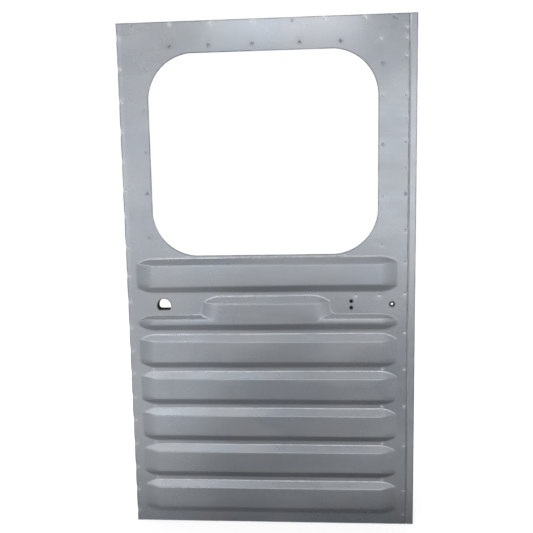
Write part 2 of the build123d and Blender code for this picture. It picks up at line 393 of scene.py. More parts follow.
def lock_hole(x, z, sizes):
    """Clockwise lock hole with a flat at its lower side, its flat and corners as the sizes say."""
    radius = settings().skin.lock_radius
    flat, corner = sizes.lock_flat, sizes.lock_corner
    rise = corner - flat
    run = math.sqrt((radius - corner) ** 2 - rise**2)
    turn = math.degrees(math.atan2(-rise, run))
    outline = arc((x, z), radius, 180 + turn, -turn, 32)
    outline += arc((x + run, z + rise), corner, -turn, -90, 5)[1:]
    outline += arc((x - run, z + rise), corner, -90, turn - 180, 5)[:-1]
    return np.array(outline)


def window_hole(lines):
    """Clockwise outline of the window aperture."""
    skin = settings().skin
    radius = skin.window_corner
    left = lines.window_left + radius
    right = lines.window_right - radius
    low = lines.window_lower + radius
    high = lines.window_upper - radius
    corners = []
    for centre, first in (((left, low), 270), ((left, high), 180), ((right, high), 90), ((right, low), 0)):
        corners += arc(centre, radius, first, first - 90, 18)
    return split(corners, 12 * MM)


def inset(outline, distance):
    """The outline moved into the sheet by a distance."""
    before = np.roll(outline, 1, 0)
    after = np.roll(outline, -1, 0)
    moved = []
    for a, b, c in zip(before, outline, after):
        u = (b - a) / np.linalg.norm(b - a)
        v = (c - b) / np.linalg.norm(c - b)
        left = np.array((-u[1] - v[1], u[0] + v[0])) / max(0.4, 1 + u.dot(v))
        moved.append(b + left * distance)
    return np.array(moved)


def inside(points, outlines):
    """Which points lie in the sheet, by counting the outlines that a ray crosses."""
    odd = np.zeros(len(points), bool)
    x, z = points.T
    for outline in outlines:
        for (ax, az), (bx, bz) in zip(outline, np.roll(outline, -1, 0)):
            if az != bz:
                crossed = (az > z) != (bz > z)
                odd ^= crossed & (x < ax + (z - az) * (bx - ax) / (bz - az))
    return odd


def clearance(points, outlines):
    """Distance of each point from the nearest outline."""
    nearest = np.full(len(points), np.inf)
    for outline in outlines:
        for a, b in zip(outline, np.roll(outline, -1, 0)):
            way = b - a
            t = np.clip((points - a) @ way / way.dot(way), 0, 1)
            nearest = np.minimum(nearest, np.linalg.norm(points - a - t[:, None] * way, axis=1))
    return nearest


class Blank:
    """A flat blank cut to its outlines and divided into triangles."""

    ROLL = 0.35 * MM
    EDGE_BAND = 3.0 * MM
    MERGED_MM = 1e-4
    LEAST_AREA = 1e-14

    def __init__(self, outlines, across, up, extra=(), folded=False):
        grid = np.array([(x, z) for x in across for z in up]).reshape(-1, 2)
        if len(grid):
            grid = grid[inside(grid, outlines)]
            grid = grid[clearance(grid, outlines) > 1.5 * self.EDGE_BAND]
        rims = list(outlines)
        rims += [inset(outline, band) for band in (self.ROLL, self.EDGE_BAND) for outline in outlines]
        starts = np.cumsum([0, *(len(rim) for rim in rims)]).tolist()
        edges = []
        for first, rim in zip(starts, rims):
            edges += [(first + k, first + (k + 1) % len(rim)) for k in range(len(rim))]
        if folded:
            first = starts[-1]
            edges += [(first + k, first + k + 1) for k in self.fold_lines(grid, outlines[1:])]
        given = np.vstack([*rims, grid, np.array(extra, float).reshape(-1, 2)])
        made = delaunay_2d_cdt([tuple(p / MM) for p in given], edges, [], 0, self.MERGED_MM)
        self.points = np.array([tuple(v) for v in made[0]]) * MM
        faces = np.array([f for f in made[2] if len(f) == 3])
        faces = faces[inside(self.points[faces].mean(1), outlines)]
        a, b, c = (self.points[faces[:, k]] for k in range(3))
        area = (b[:, 0] - a[:, 0]) * (c[:, 1] - a[:, 1]) - (b[:, 1] - a[:, 1]) * (c[:, 0] - a[:, 0])
        faces[area < 0] = faces[area < 0][:, ::-1]
        self.faces = faces[np.abs(area) > self.LEAST_AREA]
        new_index = {old: new for new, olds in enumerate(made[3]) for old in olds}
        rolled = list(zip(starts, rims))[: 2 * len(outlines)]
        rows = [[new_index[first + k] for k in range(len(rim))] for first, rim in rolled]
        self.outlines = rows[: len(outlines)]
        self.cut_edge = np.zeros(len(self.points))
        self.cut_edge[np.concatenate(rows)] = 1.0

    def fold_lines(self, grid, holes):
        """Numbers of the grid points whose next point is on the same fold line, with no hole between."""
        margin = 2 * self.EDGE_BAND
        kept = []
        for k, (a, b) in enumerate(zip(grid, grid[1:])):
            near_hole = False
            for u, v in (hole.T for hole in holes):
                level_with = (v > a[1] - margin) & (v < b[1] + margin)
                near_hole |= bool(np.any((np.abs(u - a[0]) < margin) & level_with))
            if a[0] == b[0] and not near_hole:
                kept.append(k)
        return kept


def unit(vectors):
    """Vectors of length one."""
    return vectors / np.maximum(np.linalg.norm(vectors, axis=-1, keepdims=True), 1e-12)


def flat_faces(points, near_at, far_at, axis=1):
    """Near face, far face and near normal of a flat sheet across one axis."""
    near, far = (np.insert(points, axis, at, axis=1) for at in (near_at, far_at))
    return near, far, unit(near - far)


FAR_FROM_GROOVE = 1.0
THREAD_DEPTH = 0.54
ROLLED_SHARE = 0.7


def thread_rings(near, far, outline, pitch):
    """Rings between the two rims of a tapped hole: root and crest of the thread in turn."""
    low, high = near[outline], far[outline]
    middle_low, middle_high = low.mean(0), high.mean(0)
    radius = np.linalg.norm(low - middle_low, axis=1).mean()
    crest = 1 - THREAD_DEPTH * pitch / radius
    count = 2 * max(1, round(np.linalg.norm(middle_high - middle_low) / pitch))
    rings = []
    for k in range(1, count):
        middle = middle_low + (middle_high - middle_low) * k / count
        spokes = (low - middle_low) * (1 - k / count) + (high - middle_high) * k / count
        rings.append(middle + spokes * (crest if k % 2 else 1.0))
    return rings


def add_values(mesh, name, values):
    """Stores one number per point of a mesh."""
    made = mesh.attributes.new(name, "FLOAT", "POINT")
    made.data.foreach_set("value", np.asarray(values, np.float32))


def link_object(name, data):
    """New object in the scene."""
    made = bpy.data.objects.new(name, data)
    bpy.context.scene.collection.objects.link(made)
    return made


def sheet_piece(node, name, slot, blank, faces, from_groove=None, thread=None, press=None):
    """Closed sheet between two faces of a blank, its sheared edge rolled over a little on the near side.

    It stands for a node on the door's one body. A thread has the pitch of each tapped hole, by the number of
    its outline. A press forms the finished flat sheet and gives the slope of its face at each point.
    """
    near, far, normal = faces
    rim = np.concatenate(blank.outlines)
    thick = unit(far - near)
    near = near.copy()
    near[rim] += thick[rim] * blank.ROLL * ROLLED_SHARE
    count = len(near)
    walls = []
    points = [near, far]
    for number, outline in enumerate(blank.outlines):
        rows = [outline]
        if thread and number in thread:
            for ring in thread_rings(near, far, outline, thread[number]):
                first = sum(len(p) for p in points)
                rows.append(list(range(first, first + len(ring))))
                points.append(ring)
        rows.append([count + k for k in outline])
        for near_row, far_row in zip(rows, rows[1:]):
            corners = zip(near_row, far_row, far_row[1:] + far_row[:1], near_row[1:] + near_row[:1])
            walls += [c for c in corners if c[0] != c[3]]
    walls = np.array(walls)
    points = np.vstack(points)
    in_threads = len(points) - 2 * count
    down_wall = points[walls[:, 1]] - points[walls[:, 0]]
    along_wall = points[walls[:, 2]] - points[walls[:, 1]]
    wall_normal = unit(np.cross(down_wall, along_wall))
    leaning = normal.copy()
    on_rim = (walls[:, 0] < count) & (walls[:, 3] < count)
    np.add.at(leaning, walls[on_rim, 0], 0.5 * wall_normal[on_rim])
    np.add.at(leaning, walls[on_rim, 3], 0.5 * wall_normal[on_rim])
    leaning = unit(leaning)
    turned = blank.faces[:, ::-1]
    mesh = bpy.data.meshes.new(name)
    every_face = [*blank.faces.tolist(), *(turned + count).tolist(), *walls.tolist()]
    mesh.from_pydata(points.tolist(), [], every_face)
    mesh.shade_smooth()
    add_values(mesh, "cut_edge", np.pad(np.tile(blank.cut_edge, 2), (0, in_threads)))
    groove = np.full(count, FAR_FROM_GROOVE) if from_groove is None else from_groove
    groove = np.pad(np.tile(groove, 2), (0, in_threads), constant_values=FAR_FROM_GROOVE)
    add_values(mesh, "from_groove", groove)
    mesh.materials.append(phosphate_coat() if slot == "dark_steel" else zinc_coat(slot))
    piece = link_object(name, mesh)
    flat_normals = [leaning[blank.faces].reshape(-1, 3), -normal[turned].reshape(-1, 3)]
    normals = np.vstack([*flat_normals, np.repeat(wall_normal, 4, 0)])
    if press:
        slope = press(piece)
        corners = np.concatenate([blank.faces.ravel(), (turned + count).ravel(), walls.ravel()])
        normals = unit(normals + normals[:, 1:2] * slope[corners])
    piece.data.normals_split_custom_set(normals.tolist())
    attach(piece, "root")
    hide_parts(node)


def rgba(value):
    """Colour with full alpha."""
    return (*value, 1.0)


# Node trees
class Graph:
    """Short way to write a node tree: most calls add a node, set or link its inputs and give its output."""

    def __init__(self, tree):
        self.tree = tree

    def add(self, kind, inputs=None, **attributes):
        made = self.tree.nodes.new(kind)
        for name, value in attributes.items():
            setattr(made, name, value)
        self.fill(made, inputs or {})
        return made

    def fill(self, node, inputs):
        for name, value in inputs.items():
            self.set(node.inputs[name], value)

    def set(self, socket, value):
        value = getattr(value, "socket", value)
        if isinstance(value, bpy.types.NodeSocket):
            self.tree.links.new(value, socket)
        else:
            socket.default_value = value

    def math(self, operation, a, b=0.0, clamp=False):
        return self.add("ShaderNodeMath", {0: a, 1: b}, operation=operation, use_clamp=clamp).outputs[0]

    def times(self, a, b, clamp=False):
        return self.math("MULTIPLY", a, b, clamp)

    def ramp(self, value, low, high, to_low=0.0, to_high=1.0):
        inputs = {"Value": value, "From Min": low, "From Max": high, "To Min": to_low, "To Max": to_high}
        return self.add("ShaderNodeMapRange", inputs).outputs[0]

    def blend(self, factor, a, b):
        return self.add("ShaderNodeMix", {0: factor, 6: a, 7: b}, data_type="RGBA").outputs[2]

    def paint(self, base, colour, mask, share=None):
        """A colour laid over a base where a mask is set, at most to a share."""
        return self.blend(mask if share is None else self.times(mask, share), base, rgba(colour))

    def noise(self, vector, scale, detail=2.0, roughness=0.5):
        inputs = {"Vector": vector, "Scale": scale, "Detail": detail, "Roughness": roughness}
        return self.add("ShaderNodeTexNoise", inputs).outputs[0]

    def axes(self, vector):
        return self.add("ShaderNodeSeparateXYZ", {0: vector}).outputs

    def here(self):
        return self.add("ShaderNodeTexCoord").outputs["Object"]

    def stored(self, name):
        return self.add("ShaderNodeAttribute", attribute_name=name).outputs["Fac"]

    def grouped(self, group, inputs):
        return self.add(f"{self.tree.bl_idname[:-4]}Group", inputs, node_tree=group).outputs


def joined_by(operation):
    """Method that joins a field with another number by a Math node."""
    def joined(self, other):
        return self.apply(operation, other)

    return joined


class Field:
    """A number in a node tree, so that a sum of nodes is written as a sum."""

    def __init__(self, graph, socket):
        self.graph = graph
        self.socket = socket

    def apply(self, operation, *others):
        inputs = dict(enumerate((self, *others)))
        return Field(self.graph, self.graph.add("ShaderNodeMath", inputs, operation=operation).outputs[0])

    __add__ = joined_by("ADD")
    __sub__ = joined_by("SUBTRACT")
    __mul__ = joined_by("MULTIPLY")
    __truediv__ = joined_by("DIVIDE")
    __pow__ = joined_by("POWER")
    most = joined_by("MAXIMUM")
    least = joined_by("MINIMUM")

    def __rsub__(self, other):
        return self.apply("MULTIPLY_ADD", -1.0, other)

    def between(self, low, high):
        """The number, kept between two limits."""
        return self.most(low).least(high)

    def soft_most(self, other, reach):
        """The larger of two numbers, rounded over where they differ by less than a reach."""
        return self.apply("SMOOTH_MAX", other, reach)


def new_tree(name, kind, inputs, outputs):
    """Node tree with named sockets, its graph, and the sockets to read from and to write to."""
    tree = bpy.data.node_groups.new(name, kind)
    for in_out, sockets in (("INPUT", inputs), ("OUTPUT", outputs)):
        for socket, socket_kind in sockets:
            tree.interface.new_socket(name=socket, in_out=in_out, socket_type=f"NodeSocket{socket_kind}")
    graph = Graph(tree)
    return tree, graph, graph.add("NodeGroupInput").outputs, graph.add("NodeGroupOutput").inputs


def apply_tree(piece, tree, values):
    """Runs a Geometry Nodes tree on a piece and keeps the result as its plain mesh."""
    modifier = piece.modifiers.new(tree.name, "NODES")
    modifier.node_group = tree
    for item in tree.interface.items_tree:
        if item.in_out == "INPUT" and item.name in values:
            modifier[item.identifier] = values[item.name]
    made = bpy.data.meshes.new_from_object(piece.evaluated_get(bpy.context.evaluated_depsgraph_get()))
    if not made.polygons:
        raise RuntimeError(f"{tree.name} came out empty")
    piece.modifiers.remove(modifier)
    before = piece.data
    piece.data = made
    bpy.data.meshes.remove(before)
    made.name = piece.name


# Pressing of the outer skin: the sizes are named as the settings are
PRESS_SIZES = (
    "First Foot", "Rib Count", "Rib Pitch", "Rib Height", "Rib Flank", "Lower Flank", "Rib Depth",
    "Left Tip", "Right Tip", "Rib End Taper", "End Power", "Upper Narrowing", "Lower Narrowing",
    "Crown", "Crest Rounding", "Foot Rounding", "Foot Line", "Lower Rounding", "Step Centre Length",
    "Step Flare", "Step End Taper", "Step End Crown", "Step End Height", "Step End Flank", "Step Blend",
    "Step Crown", "Rib Waver", "Buckle", "Dent", "Radius", "Pull", "Pull Radius",
)
STEPPED_RIB = 1
STEP_POWER = 1.5
SLOPE_STEP = 0.2 * MM
NOISE_SPREAD = 3.2


def one_rib(size, x, z, high, low, high_flank, left, right, taper, power, crown):
    """One rib as a signed height: above 0 inside its foot, below 0 outside."""
    depth = size["Rib Depth"]
    up_share = (z - (high + low) * 0.5) / ((high - low) * 0.5)
    past_crest = ((left - x).most(x - right) / taper + 1.0).between(0.0, 1.4)
    narrowing = past_crest * past_crest
    upper = (high - size["Upper Narrowing"] * narrowing - z) * depth / high_flank
    lower = (z - low - size["Lower Narrowing"] * narrowing) * depth / size["Lower Flank"]
    crest = depth - depth * past_crest**power - crown * up_share * up_share
    return upper.least(lower).apply("SMOOTH_MIN", crest, size["Crest Rounding"])


def skin_rise_group():
    """Geometry Nodes group: how far the die and the welder push the skin out at a place on the sheet."""
    inputs = [("Place", "Vector"), ("Welds", "Geometry"), *((name, "Float") for name in PRESS_SIZES)]
    outputs = [("Rise", "Float"), ("Foot Line", "Float"), ("Lower Flank", "Float")]
    group, graph, given, out = new_tree("skin_rise", "GeometryNodeTree", inputs, outputs)
    size = {name: Field(graph, given[name]) for name in PRESS_SIZES}
    x, _, z = (Field(graph, axis) for axis in graph.axes(given["Place"]))

    def waves(wavelength, seed):
        inputs = {"Vector": given["Place"], "W": seed, "Scale": 2 / wavelength, "Detail": 0.0}
        made = graph.add("ShaderNodeTexNoise", inputs, noise_dimensions="4D")
        return (Field(graph, made.outputs[0]) - 0.5) * NOISE_SPREAD

    def hollow(distance, depth, radius):
        inwards = (1.0 - (distance / radius) ** 2.0).most(0.0)
        return depth * inwards * inwards

    depth, flank = size["Rib Depth"], size["Rib Flank"]
    valley = size["Rib Pitch"] - size["Rib Height"]
    # A rib's zone starts in the valley above its upper foot
    index = ((size["First Foot"] + valley * 0.6 - z) / size["Rib Pitch"]).apply("FLOOR")
    index = index.between(0.0, size["Rib Count"] - 1.0)
    is_stepped = index.apply("COMPARE", float(STEPPED_RIB), 0.5)
    high = size["First Foot"] - index * size["Rib Pitch"]
    low = high - size["Rib Height"]
    level = z + size["Rib Waver"] * waves(0.31, 3.0)

    end_high = low + size["Step End Height"]
    top = high + is_stepped * (end_high - high)
    top_flank = flank + is_stepped * (size["Step End Flank"] - flank)
    ends = (size["Left Tip"], size["Right Tip"])
    taper, power = size["Rib End Taper"], size["End Power"]
    crown = size["Crown"] + is_stepped * size["Crown"] * (size["Step End Crown"] - 1.0)
    plain = one_rib(size, x, level, top, low, top_flank, *ends, taper, power, crown)
    middle = (size["Left Tip"] + size["Right Tip"]) * 0.5
    down = ((high - level) / (high - end_high)).between(0.0, 1.2)
    half = size["Step Centre Length"] * 0.5 + size["Step Flare"] * down * down
    taper = taper + (size["Step End Taper"] - taper) * down.least(1.0)
    ends = (middle - half, middle + half)
    tall = one_rib(size, x, level, high, low, flank, *ends, taper, power * STEP_POWER, size["Step Crown"])
    below_crest = (1.0 - plain.most(tall) / depth).between(0.02, 1.0)
    face = size["Step End Height"] - size["Step End Flank"] - flank
    above = ((level - low - flank) / face).between(0.02, 1.0)
    joined = plain.soft_most(tall, size["Step Blend"] * below_crest * above)
    one = plain + is_stepped * (joined - plain)
    share_down = ((high - level) / size["Rib Height"]).between(0.0, 1.0)
    reach = size["Foot Rounding"] + (size["Lower Rounding"] - size["Foot Rounding"]) * share_down
    line = (1.0 - (one / size["Foot Line"]) ** 2.0).most(0.0)
    # The painted highlight line belongs to the upper foot and fades out on the way down
    line = line * (1.7 - share_down * 2.0).between(0.0, 1.0)
    graph.set(out["Foot Line"], line)
    # The lower flank starts seven to eight tenths of the way down, between the crest and the foot
    on_flank = ((1.0 - one / depth) * 5.0).between(0.0, 1.0) * (one / depth * 6.0).between(0.0, 1.0)
    # This mask carries the painted shade on the ribs' lower sides.
    graph.set(out["Lower Flank"], on_flank * (share_down * 10.0 - 7.0).between(0.0, 1.0))
    rise = one.soft_most(0.0, reach).between(0.0, depth)
    # The waves need some room below the die's full depth
    rise = rise * (1.0 - size["Buckle"] / depth * 1.5)

    target = {"Geometry": given["Welds"], "Sample Position": given["Place"]}
    nearest = graph.add("GeometryNodeProximity", target, target_element="POINTS")
    distance = Field(graph, nearest.outputs["Distance"])
    rise = rise - hollow(distance, size["Dent"], size["Radius"])
    rise = rise - hollow(distance, size["Pull"], size["Pull Radius"])
    buckle = waves(0.23, 11.0) + waves(0.09, 12.0) * 0.5
    rise = (rise + size["Buckle"] * buckle).least(depth)
    graph.set(out["Rise"], rise)
    return group


def press_tree():
    """Geometry Nodes: presses ribs, spot-weld dents and slow waves into a flat sheet."""
    inputs = [("Flat Sheet", "Geometry"), ("Welds", "Object"), ("Material", "Material")]
    inputs += [(name, "Float") for name in PRESS_SIZES]
    tree, graph, given, out = new_tree("press_skin", "GeometryNodeTree", inputs, [("Skin", "Geometry")])
    welds = graph.add("GeometryNodeObjectInfo", {"Object": given["Welds"]}).outputs["Geometry"]
    place = graph.add("GeometryNodeInputPosition").outputs[0]
    x, _, z = (Field(graph, axis) for axis in graph.axes(place))
    group = skin_rise_group()

    def vector(across, back, up):
        return graph.add("ShaderNodeCombineXYZ", {0: across, 1: back, 2: up}).outputs[0]

    def rise_at(place):
        inputs = {"Place": place, "Welds": welds, **{name: given[name] for name in PRESS_SIZES}}
        return graph.grouped(group, inputs)

    def store(sheet, name, value, kind="FLOAT"):
        inputs = {"Geometry": sheet, "Name": name, "Value": value}
        kinds = {"data_type": kind, "domain": "POINT"}
        return graph.add("GeometryNodeStoreNamedAttribute", inputs, **kinds).outputs[0]

    flat = vector(x, 0.0, z)
    here = rise_at(flat)
    rise = Field(graph, here["Rise"])
    slope_x = (Field(graph, rise_at(vector(x + SLOPE_STEP, 0.0, z))["Rise"]) - rise) / SLOPE_STEP
    slope_z = (Field(graph, rise_at(vector(x, 0.0, z + SLOPE_STEP))["Rise"]) - rise) / SLOPE_STEP
    sheet = store(given["Flat Sheet"], "slope", vector(slope_x, 0.0, slope_z), "FLOAT_VECTOR")
    # Only feet that run level get the painted highlight, not those of the ribs' ends
    level_foot = ((slope_z * -1.0 - slope_x.most(slope_x * -1.0)) * 6.0).between(0.0, 1.0)
    sheet = store(sheet, "foot_line", Field(graph, here["Foot Line"]) * level_foot)
    sheet = store(sheet, "lower_flank", here["Lower Flank"])

    target = {"Geometry": welds, "Sample Position": flat}
    number = graph.add("GeometryNodeSampleNearest", target).outputs[0]
    tone = graph.add("GeometryNodeInputNamedAttribute", {"Name": "tone"}, data_type="FLOAT").outputs[0]
    inputs = {"Geometry": welds, "Value": tone, "Index": number}
    tone = graph.add("GeometryNodeSampleIndex", inputs).outputs[0]
    nearest = graph.add("GeometryNodeProximity", target, target_element="POINTS")
    distance = Field(graph, nearest.outputs["Distance"])
    # A weld's tone is full near its centre and gone at 1.75 times its radius
    spread = (1.25 - distance / (Field(graph, given["Radius"]) * 1.4)).between(0.0, 1.0)
    sheet = store(sheet, "weld_tone", spread * tone)

    inputs = {"Geometry": sheet, "Offset": vector(0.0, rise * -1.0, 0.0)}
    pressed = graph.add("GeometryNodeSetPosition", inputs).outputs[0]
    whole = graph.add("GeometryNodeRealizeInstances", {0: pressed}).outputs[0]
    inputs = {"Geometry": whole, "Material": given["Material"]}
    graph.set(out[0], graph.add("GeometryNodeSetMaterial", inputs).outputs[0])
    return tree


def press_skin(piece):
    """Presses the flat skin and gives the slope of its face at each point."""
    welds = spot_welds()
    mesh = bpy.data.meshes.new("weld_places")
    mesh.from_pydata([(x, 0.0, z) for x, z, _ in welds], [], [])
    add_values(mesh, "tone", welds[:, 2])
    places = link_object("weld_places", mesh)
    values = {"Welds": places, "Material": zinc_coat("skin_zinc")}
    for source in (Lines(), settings().skin, settings().weld):
        for name in PRESS_SIZES:
            key = name.lower().replace(" ", "_")
            if hasattr(source, key):
                values[name] = float(getattr(source, key))
    apply_tree(piece, press_tree(), values)
    bpy.data.objects.remove(places)
    bpy.data.meshes.remove(mesh)
    found = piece.data.attributes["slope"]
    slope = np.empty(3 * len(piece.data.vertices), np.float32)
    found.data.foreach_get("vector", slope)
    piece.data.attributes.remove(found)
    return slope.reshape(-1, 3)


def stepped(stops):
    """Values through stops, each given with the spacing that follows it."""
    values = []
    for (start, step), (end, _) in zip(stops, stops[1:]):
        count = max(1, round((end - start) / step))
        values += [start + (end - start) * k / count for k in range(count)]
    return np.array(values + [stops[-1][0]])


def skin_levels(lines):
    """Heights of the blank's rows: close together on the ribs' flanks, wide apart on the flats."""
    skin = settings().skin
    fine, middling, wide = 1.2 * MM, 7 * MM, 14 * MM
    reach = 5 * MM
    stops = [(lines.bottom, middling)]
    for index in reversed(range(skin.rib_count)):
        high, low = lines.feet(index)
        stops += [(low - reach * 0.7, fine), (low + skin.rib_flank + reach, middling)]
        if index == STEPPED_RIB:
            end_high = low + skin.step_end_height
            stops += [(end_high - skin.step_end_flank - 0.4 * reach, fine), (end_high + reach, middling)]
        stops += [(high - skin.rib_flank - reach, fine), (high + reach * 0.7, middling)]
    stops += [(lines.window_lower + 100 * MM, wide), (lines.top, wide)]
    return stepped(stops)


def skin_columns(lines):
    """Places of the blank's columns: close together at the ribs' ends, wide apart between."""
    skin = settings().skin
    left, right = lines.left_tip, lines.right_tip
    middle = (left + right) / 2
    half = skin.step_centre_length / 2
    fine, wide, reach = 3 * MM, 11 * MM, 7 * MM
    taper = skin.rib_end_taper
    flare = skin.step_flare + reach
    return stepped([
        (lines.lock_edge, wide), (left - reach, fine), (left + taper + reach, wide),
        (middle - half - flare, fine), (middle - half + taper + reach, wide),
        (middle + half - taper - reach, fine), (middle + half + flare, wide),
        (right - taper - reach, fine), (right + reach, wide), (lines.skin_edge, wide),
    ])


# Rings of points round a weld: share of its radius and number of points
WELD_RINGS = ((0.35, 6), (0.65, 10), (1.0, 12), (1.6, 12))
RING_CLEARANCE = 0.7 * MM


def weld_rings(outlines):
    """Extra points round each weld, so that its dent is round."""
    radius = settings().weld.radius
    rings = []
    for x, z, _ in spot_welds():
        rings.append((x, z))
        for share_of_radius, count in WELD_RINGS:
            rings += arc((x, z), radius * share_of_radius, 0, 360, count)[:-1]
    rings = np.array(rings)
    rings = rings[inside(rings, outlines)]
    return rings[clearance(rings, outlines) > RING_CLEARANCE]


class DOOR_OT_press_outer_skin(bpy.types.Operator):
    """Press the outer skin: window, ribs, holes, spot-weld dents and the sheet's slow waves"""

    bl_idname = "rear_door.press_outer_skin"
    bl_label = "Press outer skin"

    def execute(self, context):
        lines = Lines()
        skin = settings().skin
        edge = [(lines.lock_edge, lines.bottom), (lines.skin_edge, lines.bottom)]
        edge += [(lines.skin_edge, lines.top), (lines.lock_edge, lines.top)]
        border = split(edge, 5 * MM)
        at_lock = border[:, 0] < lines.lock_edge + 1e-6
        border[at_lock, 0] += edge_notches(border[at_lock, 1])
        outlines = [border, window_hole(lines), lock_hole(lines.lock_x, lines.handle_line, skin)]
        for side in (-1, 1):
            place = lines.handle_line + side * skin.handle_pitch / 2
            outlines.append(round_hole(-skin.handle_inset, place, skin.handle_radius, 20))
        outlines.append(round_hole(-skin.stay_inset, lines.handle_line, skin.stay_radius))
        blank = Blank(outlines, skin_columns(lines), skin_levels(lines), weld_rings(outlines))
        faces = flat_faces(blank.points, lines.front, lines.skin_back)
        groove = lines.skin_edge - blank.points[:, 0] + 1 * MM
        names = ("outer_skin", "pressed_outer_skin", "skin_zinc")
        sheet_piece(*names, blank, faces, from_groove=groove, press=press_skin)
        return {"FINISHED"}


# Folding of the frame's sections
class Fold:
    """Path of one face of a folded sheet through its corners, the thickness to the left of the way."""

    STEPS = 6

    def __init__(self, corners):
        sheet, bend = settings().frame.sheet, settings().frame.bend
        corners = [np.array(c, float) for c in corners]
        ways = [unit(b - a) for a, b in zip(corners, corners[1:])]
        self.sheet = sheet
        self.leg_start = [0.0]
        self.bends = []
        stations = [(0.0, corners[0], ways[0])]
        for corner, way, after in zip(corners[1:], ways, ways[1:]):
            turn = math.atan2(way[0] * after[1] - way[1] * after[0], way.dot(after))
            radius = bend + sheet if turn > 0 else bend
            cut = radius * math.tan(abs(turn) / 2)
            start = corner - way * cut
            far_along = stations[-1][0] + np.linalg.norm(start - stations[-1][1])
            left = np.array((-way[1], way[0])) * math.copysign(1, turn)
            centre = start + left * radius
            for k in range(self.STEPS + 1):
                angle = turn * k / self.STEPS
                spin = np.array(((math.cos(angle), -math.sin(angle)), (math.sin(angle), math.cos(angle))))
                along = far_along + radius * abs(angle)
                stations.append((along, centre + spin @ (start - centre), spin @ way))
            self.bends.append((far_along, along))
            self.leg_start.append(along - cut)
        last = stations[-1][0] + np.linalg.norm(corners[-1] - stations[-1][1])
        stations.append((last, corners[-1], ways[-1]))
        self.along, self.at, self.way = (np.array(column) for column in zip(*stations))
        self.length = last

    def form(self, points, to_space):
        """Near face, far face and near normal; to_space turns section places and lengths into points."""
        u, v = points.T
        at = np.column_stack([np.interp(u, self.along, self.at[:, k]) for k in (0, 1)])
        way = unit(np.column_stack([np.interp(u, self.along, self.way[:, k]) for k in (0, 1)]))
        left = np.column_stack([-way[:, 1], way[:, 0]])
        near = to_space(at, v)
        far = to_space(at + left * self.sheet, v)
        return near, far, unit(near - far)

    def columns(self, step):
        """Places along the path where the blank has columns: every fold line and a few between."""
        values = [self.along[0]]
        for a in self.along[1:]:
            count = max(1, math.ceil((a - values[-1]) / step))
            values += [values[-1] + (a - values[-1]) * k / count for k in range(1, count)] + [a]
        return np.array(values)


def folded_edge(columns, notches, end, step):
    """Outline of a folded section's blank. A notch has a first and last column and a depth at both ends."""
    def depth(u):
        return max([d for first, last, d in notches if first - 1e-9 <= u <= last + 1e-9], default=0.0)

    walk = []
    for a, b in zip(columns, columns[1:]):
        level = depth((a + b) / 2)
        walk += [(a, level), (b, level)]
    cleaned = [p for p, q in zip(walk, walk[1:] + [None]) if p != q]
    far_side = [(u, end - level) for u, level in reversed(cleaned)]
    return split(cleaned + far_side, step)


def upright(at, v):
    """Section places in plan, lengths up the door."""
    return np.column_stack([at[:, 0], at[:, 1], SKIN_LOW.z + v])


def crosswise(right):
    """Section places in side view, lengths across the door from a right end."""
    def to_space(at, v):
        return np.column_stack([right - v, at[:, 1], at[:, 0]])

    return to_space


def folded_piece(node, name, fold, end, to_space, notches=(), holes=(), groove=None, uneven=False):
    """Folded sheet piece of the frame, with its groove at a place along the fold if one is given."""
    columns = fold.columns(4 * MM if groove else 16 * MM)
    edge = folded_edge(columns, notches, end, 5 * MM if uneven else 40 * MM)
    if uneven:
        last = edge[:, 0] > fold.length - 1e-6
        edge[last, 0] -= edge_notches(edge[last, 1] + SKIN_LOW.z)
    rows = np.arange(45 * MM, end, 45 * MM)
    blank = Blank([edge, *holes], columns, rows, folded=True)
    from_groove = None
    if groove:
        along = blank.points[:, 0]
        from_groove = np.minimum(np.abs(along - groove), fold.length - along + 1 * MM)
    faces = fold.form(blank.points, to_space)
    sheet_piece(node, name, "frame_zinc", blank, faces, from_groove=from_groove)


def hinge_levels(lines):
    """Heights of the hinge screws."""
    sizes = settings().frame
    middles = (lines.top - sizes.hinge_inset, lines.bottom + sizes.hinge_inset)
    return [m + side * sizes.hinge_pitch / 2 for m in middles for side in (-1, 1)]


def hat_corners(low, high, low_flange, high_flange, lines):
    """Corners of a hat section over the skin, from its high end to its low end."""
    wall_low = low + low_flange
    wall_high = high - high_flange
    corners = [(high, lines.flange_back), (wall_high, lines.flange_back), (wall_high, lines.back)]
    return corners + [(wall_low, lines.back), (wall_low, lines.flange_back), (low, lines.flange_back)]


